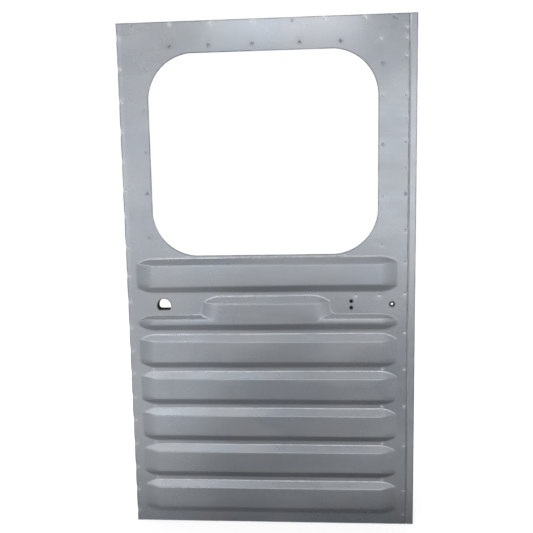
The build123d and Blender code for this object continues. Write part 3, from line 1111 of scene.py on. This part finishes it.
class DOOR_OT_fold_uprights(bpy.types.Operator):
    """Fold the edge strip, the hinge stile and the lock stile"""

    bl_idname = "rear_door.fold_uprights"
    bl_label = "Fold uprights"

    def execute(self, context):
        lines = Lines()
        sizes = settings().frame
        end = lines.top - lines.bottom
        strip_low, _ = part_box("hinge_edge_strip")
        joggle = -sizes.joggle_start
        corners = [(strip_low.x, lines.skin_back), (joggle, lines.skin_back)]
        corners += [(joggle + sizes.joggle_run, lines.front), (0, lines.front)]
        fold = Fold(corners)
        groove = fold.bends[0][1]
        folded_piece("hinge_edge_strip", "joggled_edge_strip", fold, end, upright, groove=groove)

        strip_back = lines.front + sizes.sheet
        lip = joggle + sizes.joggle_run + sizes.lip_gap
        corners = [(lip, strip_back), (0, strip_back), (0, lines.back), (-sizes.hinge_box, lines.back)]
        corners += [(-sizes.hinge_box, lines.flange_back), (lines.window_right, lines.flange_back)]
        fold = Fold(corners)
        hinge_u = fold.leg_start[1] - strip_back
        holes = [round_hole(hinge_u, z - lines.bottom, sizes.hinge_radius, 20) for z in hinge_levels(lines)]
        stay_u = fold.leg_start[2] + settings().skin.stay_inset
        holes.append(round_hole(stay_u, lines.handle_line - lines.bottom, sizes.access_radius))
        folded_piece("hinge_stile", "folded_hinge_stile", fold, end, upright, holes=holes)

        low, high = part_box("lock_stile")
        inner = high.x - low.x - sizes.lock_flange - sizes.lock_box
        fold = Fold(hat_corners(low.x, high.x, sizes.lock_flange, inner, lines))
        folded_piece("lock_stile", "folded_lock_stile", fold, end, upright, uneven=True)
        return {"FINISHED"}


class DOOR_OT_fold_rails(bpy.types.Operator):
    """Fold the top rail, the waist rail with its lock hole and the bottom rail"""

    bl_idname = "rear_door.fold_rails"
    bl_label = "Fold rails"

    def rail(self, node, low_flange, high_flange, with_lock=False):
        """One hat-section rail, its flanges notched where the stiles' flanges pass."""
        lines = Lines()
        sizes = settings().frame
        low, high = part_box(node)
        fold = Fold(hat_corners(low.z, high.z, low_flange, high_flange, lines))
        end = high.x - low.x
        notch = max(high.x - lines.window_right, lines.window_left - low.x)
        notches = [(0, fold.bends[0][1], notch), (fold.bends[-1][0], fold.length, notch)]
        holes = []
        if with_lock:
            lock_u = fold.leg_start[2] + (high.z - high_flange) - lines.handle_line
            lock_v = high.x - lines.lock_x
            turned = lock_hole(0, 0, sizes)
            holes.append(np.column_stack([lock_u - turned[:, 1], lock_v - turned[:, 0]]))
            spacing = (sizes.lock_screw_z, sizes.lock_screw_x)
            holes += four_holes(lock_u, lock_v, *spacing, sizes.lock_screw_radius)
        folded_piece(node, f"folded_{node}", fold, end, crosswise(high.x), notches, holes)

    def execute(self, context):
        sizes = settings().frame
        top_low, top_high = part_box("top_rail")
        window_flange = top_high.z - top_low.z - sizes.top_flange - sizes.top_box
        self.rail("top_rail", window_flange, sizes.top_flange)
        self.rail("waist_rail", sizes.valley_flange, sizes.sill_flange, with_lock=True)
        self.rail("bottom_rail", sizes.bottom_flange, sizes.valley_flange)
        return {"FINISHED"}


class DOOR_OT_cut_gussets(bpy.types.Operator):
    """Cut the four flat plates behind the window's round corners"""

    bl_idname = "rear_door.cut_gussets"
    bl_label = "Cut gussets"

    def execute(self, context):
        lines = Lines()
        radius = settings().skin.window_corner
        middle_x = (lines.window_left + lines.window_right) / 2
        middle_z = (lines.window_upper + lines.window_lower) / 2
        for level in ("upper", "lower"):
            for side in ("lock", "hinge"):
                node = f"{level}_{side}_side_gusset"
                low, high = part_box(node)
                x_out, x_in = (low.x, high.x) if side == "lock" else (high.x, low.x)
                z_out, z_in = (high.z, low.z) if level == "upper" else (low.z, high.z)
                side_x = math.copysign(1, x_out - middle_x)
                side_z = math.copysign(1, z_out - middle_z)
                centre_x = x_out - side_x * radius
                centre_z = z_out - side_z * radius
                start = math.asin(abs(centre_x - x_in) / radius)
                turn = np.linspace(start, math.pi / 2 - start, 15)
                curve_x = centre_x + side_x * radius * np.sin(turn)
                curve_z = centre_z + side_z * radius * np.cos(turn)
                curve = zip(curve_x.tolist(), curve_z.tolist())
                corners = [(x_in, z_out), *curve, (x_out, z_in), (x_out, z_out)]
                outline = split(corners, 12 * MM)
                x, z = outline.T
                if np.sum(x * np.roll(z, -1) - np.roll(x, -1) * z) < 0:
                    outline = outline[::-1]
                blank = Blank([outline], np.arange(low.x, high.x, 9 * MM), np.arange(low.z, high.z, 9 * MM))
                faces = flat_faces(blank.points, low.y, high.y)
                sheet_piece(node, f"cut_{node}", "frame_zinc", blank, faces)
        return {"FINISHED"}


def plate(node, name, holes, pitches, axis=1, border=None):
    """Flat plate across one axis, with holes of which some are tapped: their pitches by number from 1 on."""
    low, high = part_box(node)
    if border is None:
        a, b = (k for k in range(3) if k != axis)
        corners = [(low[a], low[b]), (high[a], low[b]), (high[a], high[b]), (low[a], high[b])]
        border = split(corners, 8 * MM)
    blank = Blank([border, *holes], [], [])
    near_at, far_at = (low.y, high.y) if axis == 1 else (high.x, low.x)
    faces = flat_faces(blank.points, near_at, far_at, axis)
    sheet_piece(node, name, "dark_steel", blank, faces, thread=pitches)


class DOOR_OT_make_fittings(bpy.types.Operator):
    """Make the lock plate, the handle's nut plate, the stay nut and the hinge plates"""

    bl_idname = "rear_door.make_fittings"
    bl_label = "Make fittings"

    def execute(self, context):
        lines = Lines()
        skin = settings().skin
        sizes = settings().frame

        lock_screws = (sizes.lock_screw_x, sizes.lock_screw_z, sizes.lock_thread)
        holes = [lock_hole(lines.lock_x, lines.handle_line, sizes)]
        holes += four_holes(lines.lock_x, lines.handle_line, *lock_screws)
        plate("lock_plate", "drilled_lock_plate", holes, {k: 0.8 * MM for k in (2, 3, 4, 5)})
        levels = [lines.handle_line + side * skin.handle_pitch / 2 for side in (-1, 1)]
        holes = [round_hole(-skin.handle_inset, z, sizes.handle_thread, 20) for z in levels]
        plate("handle_nut_plate", "tapped_handle_plate", holes, {1: MM, 2: MM})
        low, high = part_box("stay_nut")
        across_corners = (high.z - low.z) / 2
        middle = ((low.x + high.x) / 2, (low.z + high.z) / 2)
        hexagon = split(arc(middle, across_corners, 30 - 360, 30, 6)[:-1], 3 * MM)
        holes = [round_hole(*middle, sizes.stay_thread, 20)]
        plate("stay_nut", "stay_weld_nut", holes, {1: MM}, border=hexagon)
        for level in ("upper", "lower"):
            node = f"{level}_hinge_plate"
            low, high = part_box(node)
            levels = [z for z in hinge_levels(lines) if low.z < z < high.z]
            holes = [round_hole(0, z, sizes.hinge_thread, 20) for z in levels]
            plate(node, f"{level}_tapped_hinge_plate", holes, {1: MM, 2: MM}, axis=0)
        return {"FINISHED"}


# Finishes
def coat_clouds():
    """Group: slow clouds, rolling streaks and fine crystal grain of a metal coat."""
    name = "coat_clouds"
    if name in bpy.data.node_groups:
        return bpy.data.node_groups[name]
    sizes = ("Cloud Size", "Streak Size", "Grain Size")
    inputs = [("Vector", "Vector"), *((size, "Float") for size in sizes)]
    outputs = [(socket, "Float") for socket in ("Cloud", "Tint", "Streak", "Grain")]
    group, graph, given, out = new_tree(name, "ShaderNodeTree", inputs, outputs)
    cloud = graph.noise(given["Vector"], graph.math("DIVIDE", 1.0, given["Cloud Size"]), 4.0, 0.55)
    inputs = {"Vector": given["Vector"], "Location": (3.7, 1.3, 8.9)}
    elsewhere = graph.add("ShaderNodeMapping", inputs).outputs[0]
    tint = graph.noise(elsewhere, graph.math("DIVIDE", 1.4, given["Cloud Size"]), 2.0, 0.5)
    inputs = {0: given["Vector"], 1: (1.0, 1.0, 0.07)}
    drawn = graph.add("ShaderNodeVectorMath", inputs, operation="MULTIPLY").outputs[0]
    streak = graph.noise(drawn, graph.math("DIVIDE", 1.0, given["Streak Size"]), 3.0, 0.6)
    inputs = {"Vector": given["Vector"], "Scale": graph.math("DIVIDE", 1.0, given["Grain Size"])}
    cells = graph.add("ShaderNodeTexVoronoi", inputs).outputs["Color"]
    grain = graph.add("ShaderNodeSeparateColor", {"Color": cells}).outputs[0]
    ramps = {"Cloud": (cloud, 0.32, 0.68), "Tint": (tint, 0.36, 0.64), "Streak": (streak, 0.3, 0.7)}
    for socket, values in ramps.items():
        graph.set(out[socket], graph.ramp(*values))
    graph.set(out["Grain"], grain)
    return group


def handling_marks():
    """Group: fine scratches and smears from handling, and the uneven line of the cut edges."""
    name = "handling_marks"
    if name in bpy.data.node_groups:
        return bpy.data.node_groups[name]
    inputs = [("Vector", "Vector"), ("Edge", "Float"), ("Scratch Share", "Float")]
    outputs = [(socket, "Float") for socket in ("Scratches", "Smears", "Edge Line")]
    group, graph, given, out = new_tree(name, "ShaderNodeTree", inputs, outputs)
    # Long thin cells of noise, turned three ways and broken up, are the scratches
    marks = []
    for angle, offset in ((0.25, 3.1), (1.35, 7.7), (-0.6, 12.9)):
        inputs = {"Vector": given["Vector"], "Location": (offset, 0, 0)}
        inputs |= {"Rotation": (0, angle, 0), "Scale": (7, 1, 420)}
        turned = graph.add("ShaderNodeMapping", inputs).outputs[0]
        fine = graph.noise(turned, 1.0, 1.0, 0.4)
        broken = graph.noise(given["Vector"], 9.0 + offset, 1.0)
        marks.append(graph.times(graph.ramp(fine, 0.72, 0.78), graph.ramp(broken, 0.6, 0.68)))
    most = graph.math("MAXIMUM", graph.math("MAXIMUM", marks[0], marks[1]), marks[2])
    graph.set(out["Scratches"], graph.times(most, given["Scratch Share"], clamp=True))
    inputs = {0: given["Vector"], 1: (0.35, 1.0, 1.0)}
    wiped = graph.add("ShaderNodeVectorMath", inputs, operation="MULTIPLY").outputs[0]
    graph.set(out["Smears"], graph.ramp(graph.noise(wiped, 26.0), 0.48, 0.75))
    uneven = graph.ramp(graph.noise(given["Vector"], 30.0, 3.0, 0.6), 0.36, 0.58, 0.35, 1.0)
    line = graph.ramp(given["Edge"], 0.3, 0.75)
    graph.set(out["Edge Line"], graph.times(line, uneven, clamp=True))
    return group


def emptied(owner):
    """Graph of a material's or a world's node tree, emptied."""
    owner.use_nodes = True
    owner.node_tree.nodes.clear()
    return Graph(owner.node_tree)


def new_material(name):
    """Material, its graph and its Principled shader."""
    material = bpy.data.materials.new(name)
    graph = emptied(material)
    shader = graph.add("ShaderNodeBsdfPrincipled")
    graph.add("ShaderNodeOutputMaterial", {"Surface": shader.outputs[0]})
    return material, graph, shader


ZINC_METALLIC = 0.93
# Painted shade on the ribs' lower sides: a darker colour that stands in for the dark surroundings that the
# metal mirrors there
LOWER_FLANK_SHADE_SHARE = 0.3
FRAME_BRIGHTER = 0.2


def rubbed_flange(graph, where, smears):
    """Share of bright metal along the lock edge, on the weld flange: most of it above the ribs."""
    axes = graph.axes(where)
    near_edge = graph.ramp(axes[0], SKIN_LOW.x + 11 * MM, SKIN_LOW.x + 8 * MM)
    above = graph.ramp(axes[2], -150 * MM, 100 * MM, 0.0, 0.22)
    uneven = graph.ramp(smears, 0.0, 1.0, 0.6, 1.4)
    return graph.times(graph.times(near_edge, above), uneven, clamp=True)


def zinc_coat(slot):
    """Satin zinc coat with clouds, streaks, grain, handling marks, weld tones, painted highlights and
    painted shade.
    """
    name = f"{slot}_coat"
    if name in bpy.data.materials:
        return bpy.data.materials[name]
    finish = settings().finish
    material, graph, shader = new_material(name)
    where = graph.here()
    tone = graph.stored("weld_tone")
    inputs = {"Vector": where, "Cloud Size": 160 * MM, "Streak Size": 12 * MM, "Grain Size": 4 * MM}
    coat = graph.grouped(coat_clouds(), inputs)
    inputs = {"Vector": where, "Edge": graph.stored("cut_edge"), "Scratch Share": 0.3}
    marks = graph.grouped(handling_marks(), inputs)
    base = graph.blend(coat["Cloud"], rgba(finish.zinc_dull), rgba(finish.zinc))
    base = graph.paint(base, finish.zinc_neutral, coat["Tint"], 0.65)
    base = graph.paint(base, finish.zinc, coat["Streak"], 0.25)
    base = graph.paint(base, finish.zinc_pale, coat["Grain"], 0.22)
    base = graph.paint(base, finish.zinc_pale, marks["Smears"], 0.4)
    if slot == "skin_zinc":
        base = graph.paint(base, finish.bright, rubbed_flange(graph, where, marks["Smears"]))
        # Painted highlight: a bright line along the ribs' upper feet, broken up by noise.
        uneven_highlight = graph.ramp(graph.noise(where, 45.0, 3.0, 0.6), 0.32, 0.6, 0.3, 1.0)
        base = graph.paint(base, finish.bright, graph.times(graph.stored("foot_line"), uneven_highlight, clamp=True))
        # Painted shade on the ribs' lower sides.
        base = graph.paint(base, finish.edge_line_and_shade, graph.stored("lower_flank"), LOWER_FLANK_SHADE_SHARE)
    else:
        base = graph.paint(base, finish.bright, FRAME_BRIGHTER)
    base = graph.paint(base, finish.bright, marks["Scratches"])
    base = graph.paint(base, finish.edge_line_and_shade, marks["Edge Line"], 0.7)
    # Weld tones: bright as rubbed metal and painted highlight, dark as scorched metal and painted shade.
    spotted = graph.ramp(graph.noise(where, 420.0), 0.35, 0.6)
    base = graph.paint(base, finish.bright, graph.times(tone, spotted, clamp=True))
    burnt_and_shaded = graph.times(graph.times(tone, -1.0), spotted, clamp=True)
    base = graph.paint(base, finish.scorch_and_shade, burnt_and_shaded)
    # Painted shade along the groove beside the edge strip, uneven along its length; the surface is also
    # rougher there.
    groove_shade_mask = graph.ramp(graph.stored("from_groove"), 0.9 * MM, 1.9 * MM, 1.0, 0.0)
    thin = graph.ramp(graph.noise(where, 24.0, 4.0, 0.6), 0.3, 0.66, 0.04, 0.26)
    groove_shade_mask = graph.times(groove_shade_mask, thin, clamp=True)
    base = graph.paint(base, finish.groove_shade, groove_shade_mask)
    rough = graph.ramp(coat["Cloud"], 0.0, 1.0, 0.3, 0.25)
    for mask, rougher in ((marks["Smears"], 0.08), (groove_shade_mask, 0.3)):
        rough = graph.math("ADD", rough, graph.times(mask, rougher))
    height = graph.math("ADD", graph.times(graph.noise(where, 700.0), 0.025), graph.noise(where, 38.0))
    bump = graph.add("ShaderNodeBump", {"Strength": 0.15, "Distance": 0.4 * MM, "Height": height}).outputs[0]
    inputs = {"Base Color": base, "Roughness": rough, "Normal": bump, "Metallic": ZINC_METALLIC}
    graph.fill(shader, inputs)
    return material


def phosphate_coat():
    """Dark phosphated steel with paler patches of wear; its darkest tone is partly painted shade for the
    pieces seen in the skin's holes.
    """
    name = "dark_steel_coat"
    if name in bpy.data.materials:
        return bpy.data.materials[name]
    finish = settings().finish
    material, graph, shader = new_material(name)
    where = graph.here()
    inputs = {"Vector": where, "Cloud Size": 20 * MM, "Streak Size": 4 * MM, "Grain Size": 0.7 * MM}
    clouds = graph.grouped(coat_clouds(), inputs)
    inputs = {"Vector": where, "Edge": graph.stored("cut_edge"), "Scratch Share": 0.4}
    marks = graph.grouped(handling_marks(), inputs)
    base = graph.blend(clouds["Cloud"], rgba(finish.dark_steel), rgba(finish.dark_steel_worn))
    base = graph.paint(base, finish.dark_steel_worn, clouds["Grain"], 0.3)
    base = graph.paint(base, finish.zinc_dull, marks["Edge Line"], 0.15)
    inputs = {"Strength": 0.3, "Distance": 0.2 * MM, "Height": clouds["Grain"]}
    bump = graph.add("ShaderNodeBump", inputs).outputs[0]
    rough = graph.ramp(clouds["Cloud"], 0, 1, 0.62, 0.5)
    inputs = {"Base Color": base, "Roughness": rough, "Normal": bump}
    graph.fill(shader, inputs | {"Metallic": 0.3, "Specular IOR Level": 0.3})
    return material


def weld_mark_coat():
    """Pressed zinc of a weld mark: a grey ring, scorched and rubbed in patches."""
    finish = settings().finish
    material, graph, shader = new_material("weld_mark_coat")
    where = graph.here()
    patches = graph.ramp(graph.noise(where, 160.0, 3.0, 0.6), 0.4, 0.62)
    base = graph.paint(rgba(finish.zinc_dull), finish.scorch_and_shade, patches)
    flecks = graph.ramp(graph.noise(where, 900.0), 0.5, 0.62)
    base = graph.paint(base, finish.bright, flecks, 0.5)
    rough = graph.ramp(patches, 0, 1, 0.36, 0.55)
    graph.fill(shader, {"Base Color": base, "Roughness": rough, "Metallic": ZINC_METALLIC})
    return material


# Spot-weld marks on the rear flanges: where the rim is and how wide, as shares of the radius, and how much
# of the rim's height the dish takes away
MARK_RIM_AT = 0.72
MARK_RIM_WIDTH = 0.34
MARK_DISH = 0.92


def weld_mark_tree():
    """Geometry Nodes: one dished mark on each point, turned and sized a little at random."""
    inputs = [("Places", "Geometry"), ("Radius", "Float"), ("Rim", "Float"), ("Seed", "Int")]
    inputs.append(("Material", "Material"))
    outputs = [("Marks", "Geometry")]
    tree, graph, given, out = new_tree("rear_weld_marks", "GeometryNodeTree", inputs, outputs)
    disc = graph.add(
        "GeometryNodeMeshCylinder",
        {"Vertices": 14, "Fill Segments": 5, "Radius": given["Radius"], "Depth": given["Rim"]},
        fill_type="TRIANGLE_FAN",
    ).outputs["Mesh"]
    place = graph.add("GeometryNodeInputPosition").outputs[0]
    x, y, z = (Field(graph, axis) for axis in graph.axes(place))
    outwards = (x * x + y * y).apply("SQRT") / given["Radius"]
    from_rim = (outwards - MARK_RIM_AT).apply("ABSOLUTE")
    dish = (from_rim / MARK_RIM_WIDTH).between(0.0, 1.0) * given["Rim"] * MARK_DISH
    sunk = dish * z.apply("GREATER_THAN", 0.0) * -1.0
    offset = graph.add("ShaderNodeCombineXYZ", {2: sunk}).outputs[0]
    dished = graph.add("GeometryNodeSetPosition", {"Geometry": disc, "Offset": offset}).outputs[0]
    upright_turn, full_turn = (-math.pi / 2, 0, 0), (-math.pi / 2, 2 * math.pi, 0)
    inputs = {0: upright_turn, 1: full_turn, "Seed": given["Seed"]}
    turn = graph.add("FunctionNodeRandomValue", inputs, data_type="FLOAT_VECTOR")
    inputs = {2: 0.8, 3: 1.15, "Seed": given["Seed"]}
    size = graph.add("FunctionNodeRandomValue", inputs, data_type="FLOAT")
    smooth = graph.add("GeometryNodeSetShadeSmooth", {"Geometry": dished}).outputs[0]
    inputs = {"Points": given["Places"], "Instance": smooth}
    inputs |= {"Rotation": turn.outputs[0], "Scale": size.outputs[1]}
    placed = graph.add("GeometryNodeInstanceOnPoints", inputs).outputs[0]
    joined = graph.add("GeometryNodeRealizeInstances", {0: placed}).outputs[0]
    inputs = {"Geometry": joined, "Material": given["Material"]}
    graph.set(out[0], graph.add("GeometryNodeSetMaterial", inputs).outputs[0])
    return tree


ROW_MARGIN = 28 * MM


def rear_weld_places():
    """Places of the marks on the flanges' rear faces, opposite the dents in the skin."""
    lines = Lines()
    sizes = settings().frame
    outer_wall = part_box("lock_stile")[0].x + sizes.lock_flange
    inner_wall = outer_wall + sizes.lock_box
    waist_low, waist_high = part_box("waist_rail")
    kept = []
    for x, z, _ in spot_welds():
        in_rail = x > outer_wall and waist_low.z < z < waist_high.z
        if x < -sizes.hinge_box and not outer_wall < x < inner_wall and not in_rail:
            kept.append((x, z))
    rows = [(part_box("bottom_rail")[0].z + sizes.bottom_flange / 2, 8)]
    rows += [(lines.valley(settings().skin.rib_count - 2), 7), (lines.valley(1), 7)]
    first, last = lines.window_left + ROW_MARGIN, lines.window_right - ROW_MARGIN
    for z, count in rows:
        kept += [(x, z) for x in np.linspace(first, last, count)]
    return [(x, lines.flange_back, z) for x, z in kept]


class DOOR_OT_mark_rear_welds(bpy.types.Operator):
    """Mark the spot welds on the rear flanges with Geometry Nodes"""

    bl_idname = "rear_door.mark_rear_welds"
    bl_label = "Mark rear welds"

    def execute(self, context):
        weld = settings().weld
        mesh = bpy.data.meshes.new("rear_weld_places")
        mesh.from_pydata(rear_weld_places(), [], [])
        piece = link_object("rear_weld_marks", mesh)
        values = {"Radius": weld.mark_radius, "Rim": weld.mark_rim, "Seed": weld.seed}
        values["Material"] = weld_mark_coat()
        apply_tree(piece, weld_mark_tree(), values)
        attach(piece, "root")
        return {"FINISHED"}


# Studio: how bright it is as the metal mirrors it.
# Each row has the degrees of height, then the levels from the far left to the far right.
REFLECTOR_LEVELS = (
    (-90, 0.42, 0.34, 0.19, 0.17, 0.2),
    (-83, 0.45, 0.36, 0.21, 0.18, 0.22),
    (-77, 0.56, 0.5, 0.31, 0.28, 0.32),
    (-70, 0.57, 0.48, 0.31, 0.36, 0.42),
    (-57, 0.56, 0.55, 0.28, 0.45, 0.56),
    (-46, 0.58, 0.84, 0.38, 0.41, 0.54),
    (-22, 0.54, 0.88, 0.33, 0.36, 0.52),
    (-12, 0.62, 0.77, 0.37, 0.66, 0.4),
    (-7, 0.64, 0.83, 0.57, 0.93, 1.15),
    (-1, 0.74, 1.42, 1.12, 1.72, 0.62),
    (8, 0.7, 1.42, 1.15, 1.8, 0.55),
    (13, 0.4, 0.4, 0.75, 0.93, 0.6),
    (15, 0.25, 0.16, 0.63, 0.84, 0.6),
    (18, 0.3, 0.25, 0.2, 0.48, 0.45),
    (23, 1.9, 2.6, 0.0, 0.55, 0.5),
    (29, 2.2, 2.5, 0.16, 1.02, 0.7),
    (35, 0.4, 0.12, 1.45, 1.14, 0.75),
    (39, 0.3, 0.33, 0.98, 0.84, 0.6),
    (43, 0.2, 0.26, 0.0, 0.18, 0.18),
    (60, 0.5, 0.66, 0.15, 0.66, 0.5),
    (90, 0.5, 0.66, 0.15, 0.66, 0.5),
)
# Where one column goes over into the next, in degrees aside: start, end, number of the next column
REFLECTOR_TURNS = ((-4, -11, 1), (-17, -30, 0), (1, 7, 3), (13, 27, 4))
# Angles aside are those seen from the camera's mirror image, which stands about this far off
CAMERA_AWAY = 1.2
SKIN_MIDDLE = (SKIN_LOW.x + SKIN_HIGH.x) / 2


def stage_object(name, points, faces, material):
    """Mesh that belongs to the studio."""
    mesh = bpy.data.meshes.new(name)
    mesh.from_pydata(points, [], faces)
    mesh.materials.append(material)
    made = link_object(name, mesh)
    return made


def hide_but_mirrored(made):
    """Leaves a studio object to be seen in mirrors only."""
    for kind in ("camera", "diffuse", "transmission", "shadow", "volume_scatter"):
        setattr(made, f"visible_{kind}", False)


def seen_directly(graph):
    """1 where a ray comes from the camera, a mirror or through glass."""
    path = graph.add("ShaderNodeLightPath").outputs
    most = graph.math("MAXIMUM", path["Is Camera Ray"], path["Is Glossy Ray"])
    return graph.math("MAXIMUM", most, path["Is Transmission Ray"])


def studio_material(name):
    """Material of the studio with an empty tree, and its graph."""
    material = bpy.data.materials.new(name)
    material.cycles.emission_sampling = "NONE"
    return material, emptied(material)


def floor_material():
    """Plain white floor that keeps soft shadows."""
    material, graph = studio_material("pale_floor")
    matt = graph.add("ShaderNodeBsdfDiffuse", {"Color": (0.9, 0.9, 0.9, 1.0)}).outputs[0]
    white = graph.add("ShaderNodeEmission", {"Strength": 1.05}).outputs[0]
    glow = graph.times(seen_directly(graph), settings().stage.floor_glow)
    mixed = graph.add("ShaderNodeMixShader", {0: glow, 1: matt, 2: white}).outputs[0]
    graph.add("ShaderNodeOutputMaterial", {"Surface": mixed})
    return material


def level_ramp(graph, along, stops, brightest):
    """Levels at stops along a share from 0 to 1, as shares of the brightest."""
    ramp = graph.add("ShaderNodeValToRGB", {0: along})
    elements = ramp.color_ramp.elements
    while len(elements) < len(stops):
        elements.new(0.5)
    for element, (position, level) in zip(elements, stops):
        element.position = position
        element.color = rgba([level / brightest] * 3)
    return ramp.outputs[0]


def reflector_material():
    """Level of the studio as the metal mirrors it, by the angles above and beside the door's middle."""
    material, graph = studio_material("studio_reflector")
    axes = graph.axes(graph.here())
    angle = graph.math("ARCTAN2", axes[2], graph.math("ABSOLUTE", axes[1]))
    share_up = graph.ramp(angle, -math.pi / 2, math.pi / 2)
    brightest = max(max(levels) for _, *levels in REFLECTOR_LEVELS)

    def column(number):
        stops = [((degrees + 90) / 180, levels[number]) for degrees, *levels in REFLECTOR_LEVELS]
        return level_ramp(graph, share_up, stops, brightest)

    across = graph.math("SUBTRACT", axes[0], SKIN_MIDDLE)
    away = graph.math("ADD", graph.math("ABSOLUTE", axes[1]), CAMERA_AWAY)
    aside = graph.math("ARCTAN2", across, away)
    tone = column(2)
    for first, last, number in REFLECTOR_TURNS:
        passed = graph.ramp(aside, math.radians(first), math.radians(last))
        tone = graph.blend(passed, tone, column(number))
    glow = graph.add("ShaderNodeEmission", {"Color": tone, "Strength": brightest}).outputs[0]
    graph.add("ShaderNodeOutputMaterial", {"Surface": glow})
    return material


def studio_reflector():
    """Floor boards and a vault that only mirrors see, so that the metal has something to reflect."""
    reach, wide, steps = 40.0, 120.0, 64
    bottom = SKIN_LOW.z + 1 * MM
    gaps = {-1: 0.5 * MM - Lines().front, 1: CAD_BOX[1].y + 0.5 * MM}
    points = []
    faces = []
    for side, gap in gaps.items():
        profile = [(side * (gap + (reach - gap) * (k / steps) ** 2), bottom) for k in range(steps + 1)]
        arc_points = arc((0, bottom), reach, 0, 90, steps)[1:]
        profile += [(side * y, z) for y, z in arc_points]
        first = len(points)
        for y, z in profile:
            points += [(SKIN_MIDDLE - wide, y, z), (SKIN_MIDDLE + wide, y, z)]
        for k in range(first, first + 2 * len(profile) - 2, 2):
            faces.append((k, k + 1, k + 3, k + 2))
    hide_but_mirrored(stage_object("studio_reflector", points, faces, reflector_material()))


def studio_board():
    """A bright board in front of the door and above it, that mirrors see from one side only."""
    lines = Lines()
    away, low_edge, high_edge = -400 * MM, lines.top + 60 * MM, lines.top + 190 * MM
    start, end = lines.window_left + 70 * MM, lines.window_right
    material, graph = studio_material("bright_board")
    glow = graph.add("ShaderNodeEmission", {"Strength": 1.65}).outputs[0]
    behind = graph.add("ShaderNodeNewGeometry").outputs["Backfacing"]
    clear = graph.add("ShaderNodeBsdfTransparent").outputs[0]
    mixed = graph.add("ShaderNodeMixShader", {0: behind, 1: glow, 2: clear}).outputs[0]
    graph.add("ShaderNodeOutputMaterial", {"Surface": mixed})
    outline = [(start, high_edge), (end, high_edge), (end, low_edge), (start, low_edge)]
    points = [(x, away, z) for x, z in outline]
    hide_but_mirrored(stage_object("bright_board", points, [(0, 1, 2, 3)], material))


def area_lamp(name, place, width, watts):
    """Soft square lamp aimed at the door's middle."""
    lamp = bpy.data.lights.new(name, "AREA")
    lamp.size = width
    lamp.energy = watts
    made = link_object(name, lamp)
    made.location = place
    aim = Vector((SKIN_MIDDLE, 0.0, 0.0))
    made.rotation_euler = (Vector(place) - aim).to_track_quat("Z", "Y").to_euler()
    made.visible_glossy = False


def overhead_light(strength):
    """Very soft light from above, which keeps the shadow close to the door."""
    lamp = bpy.data.lights.new("overhead", "SUN")
    lamp.energy = strength
    lamp.angle = math.radians(50)
    made = link_object("overhead", lamp)
    made.rotation_euler = (math.radians(10), math.radians(-6), 0)
    made.visible_glossy = False


FLOOR_REACH = 20.0
CORNERS = ((-1, -1), (1, -1), (1, 1), (-1, 1))


class DOOR_OT_set_stage(bpy.types.Operator):
    """Set the floor, the studio light and the camera"""

    bl_idname = "rear_door.set_stage"
    bl_label = "Set stage"

    def execute(self, context):
        stage = settings().stage
        ground = [(x * FLOOR_REACH, y * FLOOR_REACH, SKIN_LOW.z) for x, y in CORNERS]
        stage_object("floor", ground, [(0, 1, 2, 3)], floor_material())
        studio_reflector()
        studio_board()
        area_lamp("key", (-1.3, -2.0, 1.7), 1.6, stage.key_watts)
        area_lamp("rear", (0.6, 2.2, 1.6), 1.8, stage.rear_watts)
        overhead_light(stage.overhead)
        self.light_world(context)
        self.place_camera(context)
        context.scene.view_settings.view_transform = "Standard"
        return {"FINISHED"}

    def light_world(self, context):
        """Even studio light, white where it is seen."""
        world = bpy.data.worlds.new("studio")
        graph = emptied(world)
        level = graph.ramp(seen_directly(graph), 0, 1, settings().stage.ambient, 1.0)
        light = graph.add("ShaderNodeBackground", {"Color": (1, 1, 1, 1), "Strength": level}).outputs[0]
        graph.add("ShaderNodeOutputWorld", {"Surface": light})
        context.scene.world = world

    def place_camera(self, context):
        """Camera at the photograph's viewing angle."""
        stage = settings().stage
        camera = bpy.data.cameras.new("camera")
        camera.sensor_width = 36.0
        camera.lens = stage.lens
        made = link_object("camera", camera)
        turn = Matrix.Rotation(-stage.camera_tilt - math.pi / 2, 4, "X")
        turn = turn @ Matrix.Rotation(-stage.camera_turn, 4, "Y")
        turn = turn @ Matrix.Rotation(-stage.camera_roll, 4, "Z") @ Matrix.Rotation(math.pi, 4, "X")
        made.matrix_world = Matrix.Translation(stage.camera_place) @ turn
        context.scene.camera = made


OPERATORS = (
    DOOR_OT_press_outer_skin,
    DOOR_OT_fold_uprights,
    DOOR_OT_fold_rails,
    DOOR_OT_cut_gussets,
    DOOR_OT_make_fittings,
    DOOR_OT_mark_rear_welds,
    DOOR_OT_set_stage,
)


class DOOR_PT_panel(bpy.types.Panel):
    """Lists the door's pieces in the sidebar"""

    bl_idname = "DOOR_PT_panel"
    bl_label = "Rear door"
    bl_space_type = "VIEW_3D"
    bl_region_type = "UI"
    bl_category = "Rear door"

    def draw(self, context):
        for operator in OPERATORS:
            self.layout.operator(operator.bl_idname)
        for group in ("skin", "frame", "weld", "finish", "stage"):
            box = self.layout.box()
            values = getattr(context.scene.rear_door, group)
            for name in values.bl_rna.properties.keys():
                if name not in ("rna_type", "name"):
                    box.prop(values, name)


CLASSES = (
    SkinSettings,
    FrameSettings,
    WeldSettings,
    FinishSettings,
    StageSettings,
    RearDoorSettings,
    *OPERATORS,
    DOOR_PT_panel,
)


def register():
    for one in CLASSES:
        bpy.utils.register_class(one)
    bpy.types.Scene.rear_door = PointerProperty(type=RearDoorSettings)


def unregister():
    del bpy.types.Scene.rear_door
    for one in reversed(CLASSES):
        bpy.utils.unregister_class(one)


def main():
    """Builds the door."""
    register()
    for operator in OPERATORS:
        group, name = operator.bl_idname.split(".")
        getattr(getattr(bpy.ops, group), name)()


if __name__ == "__main__":
    main()
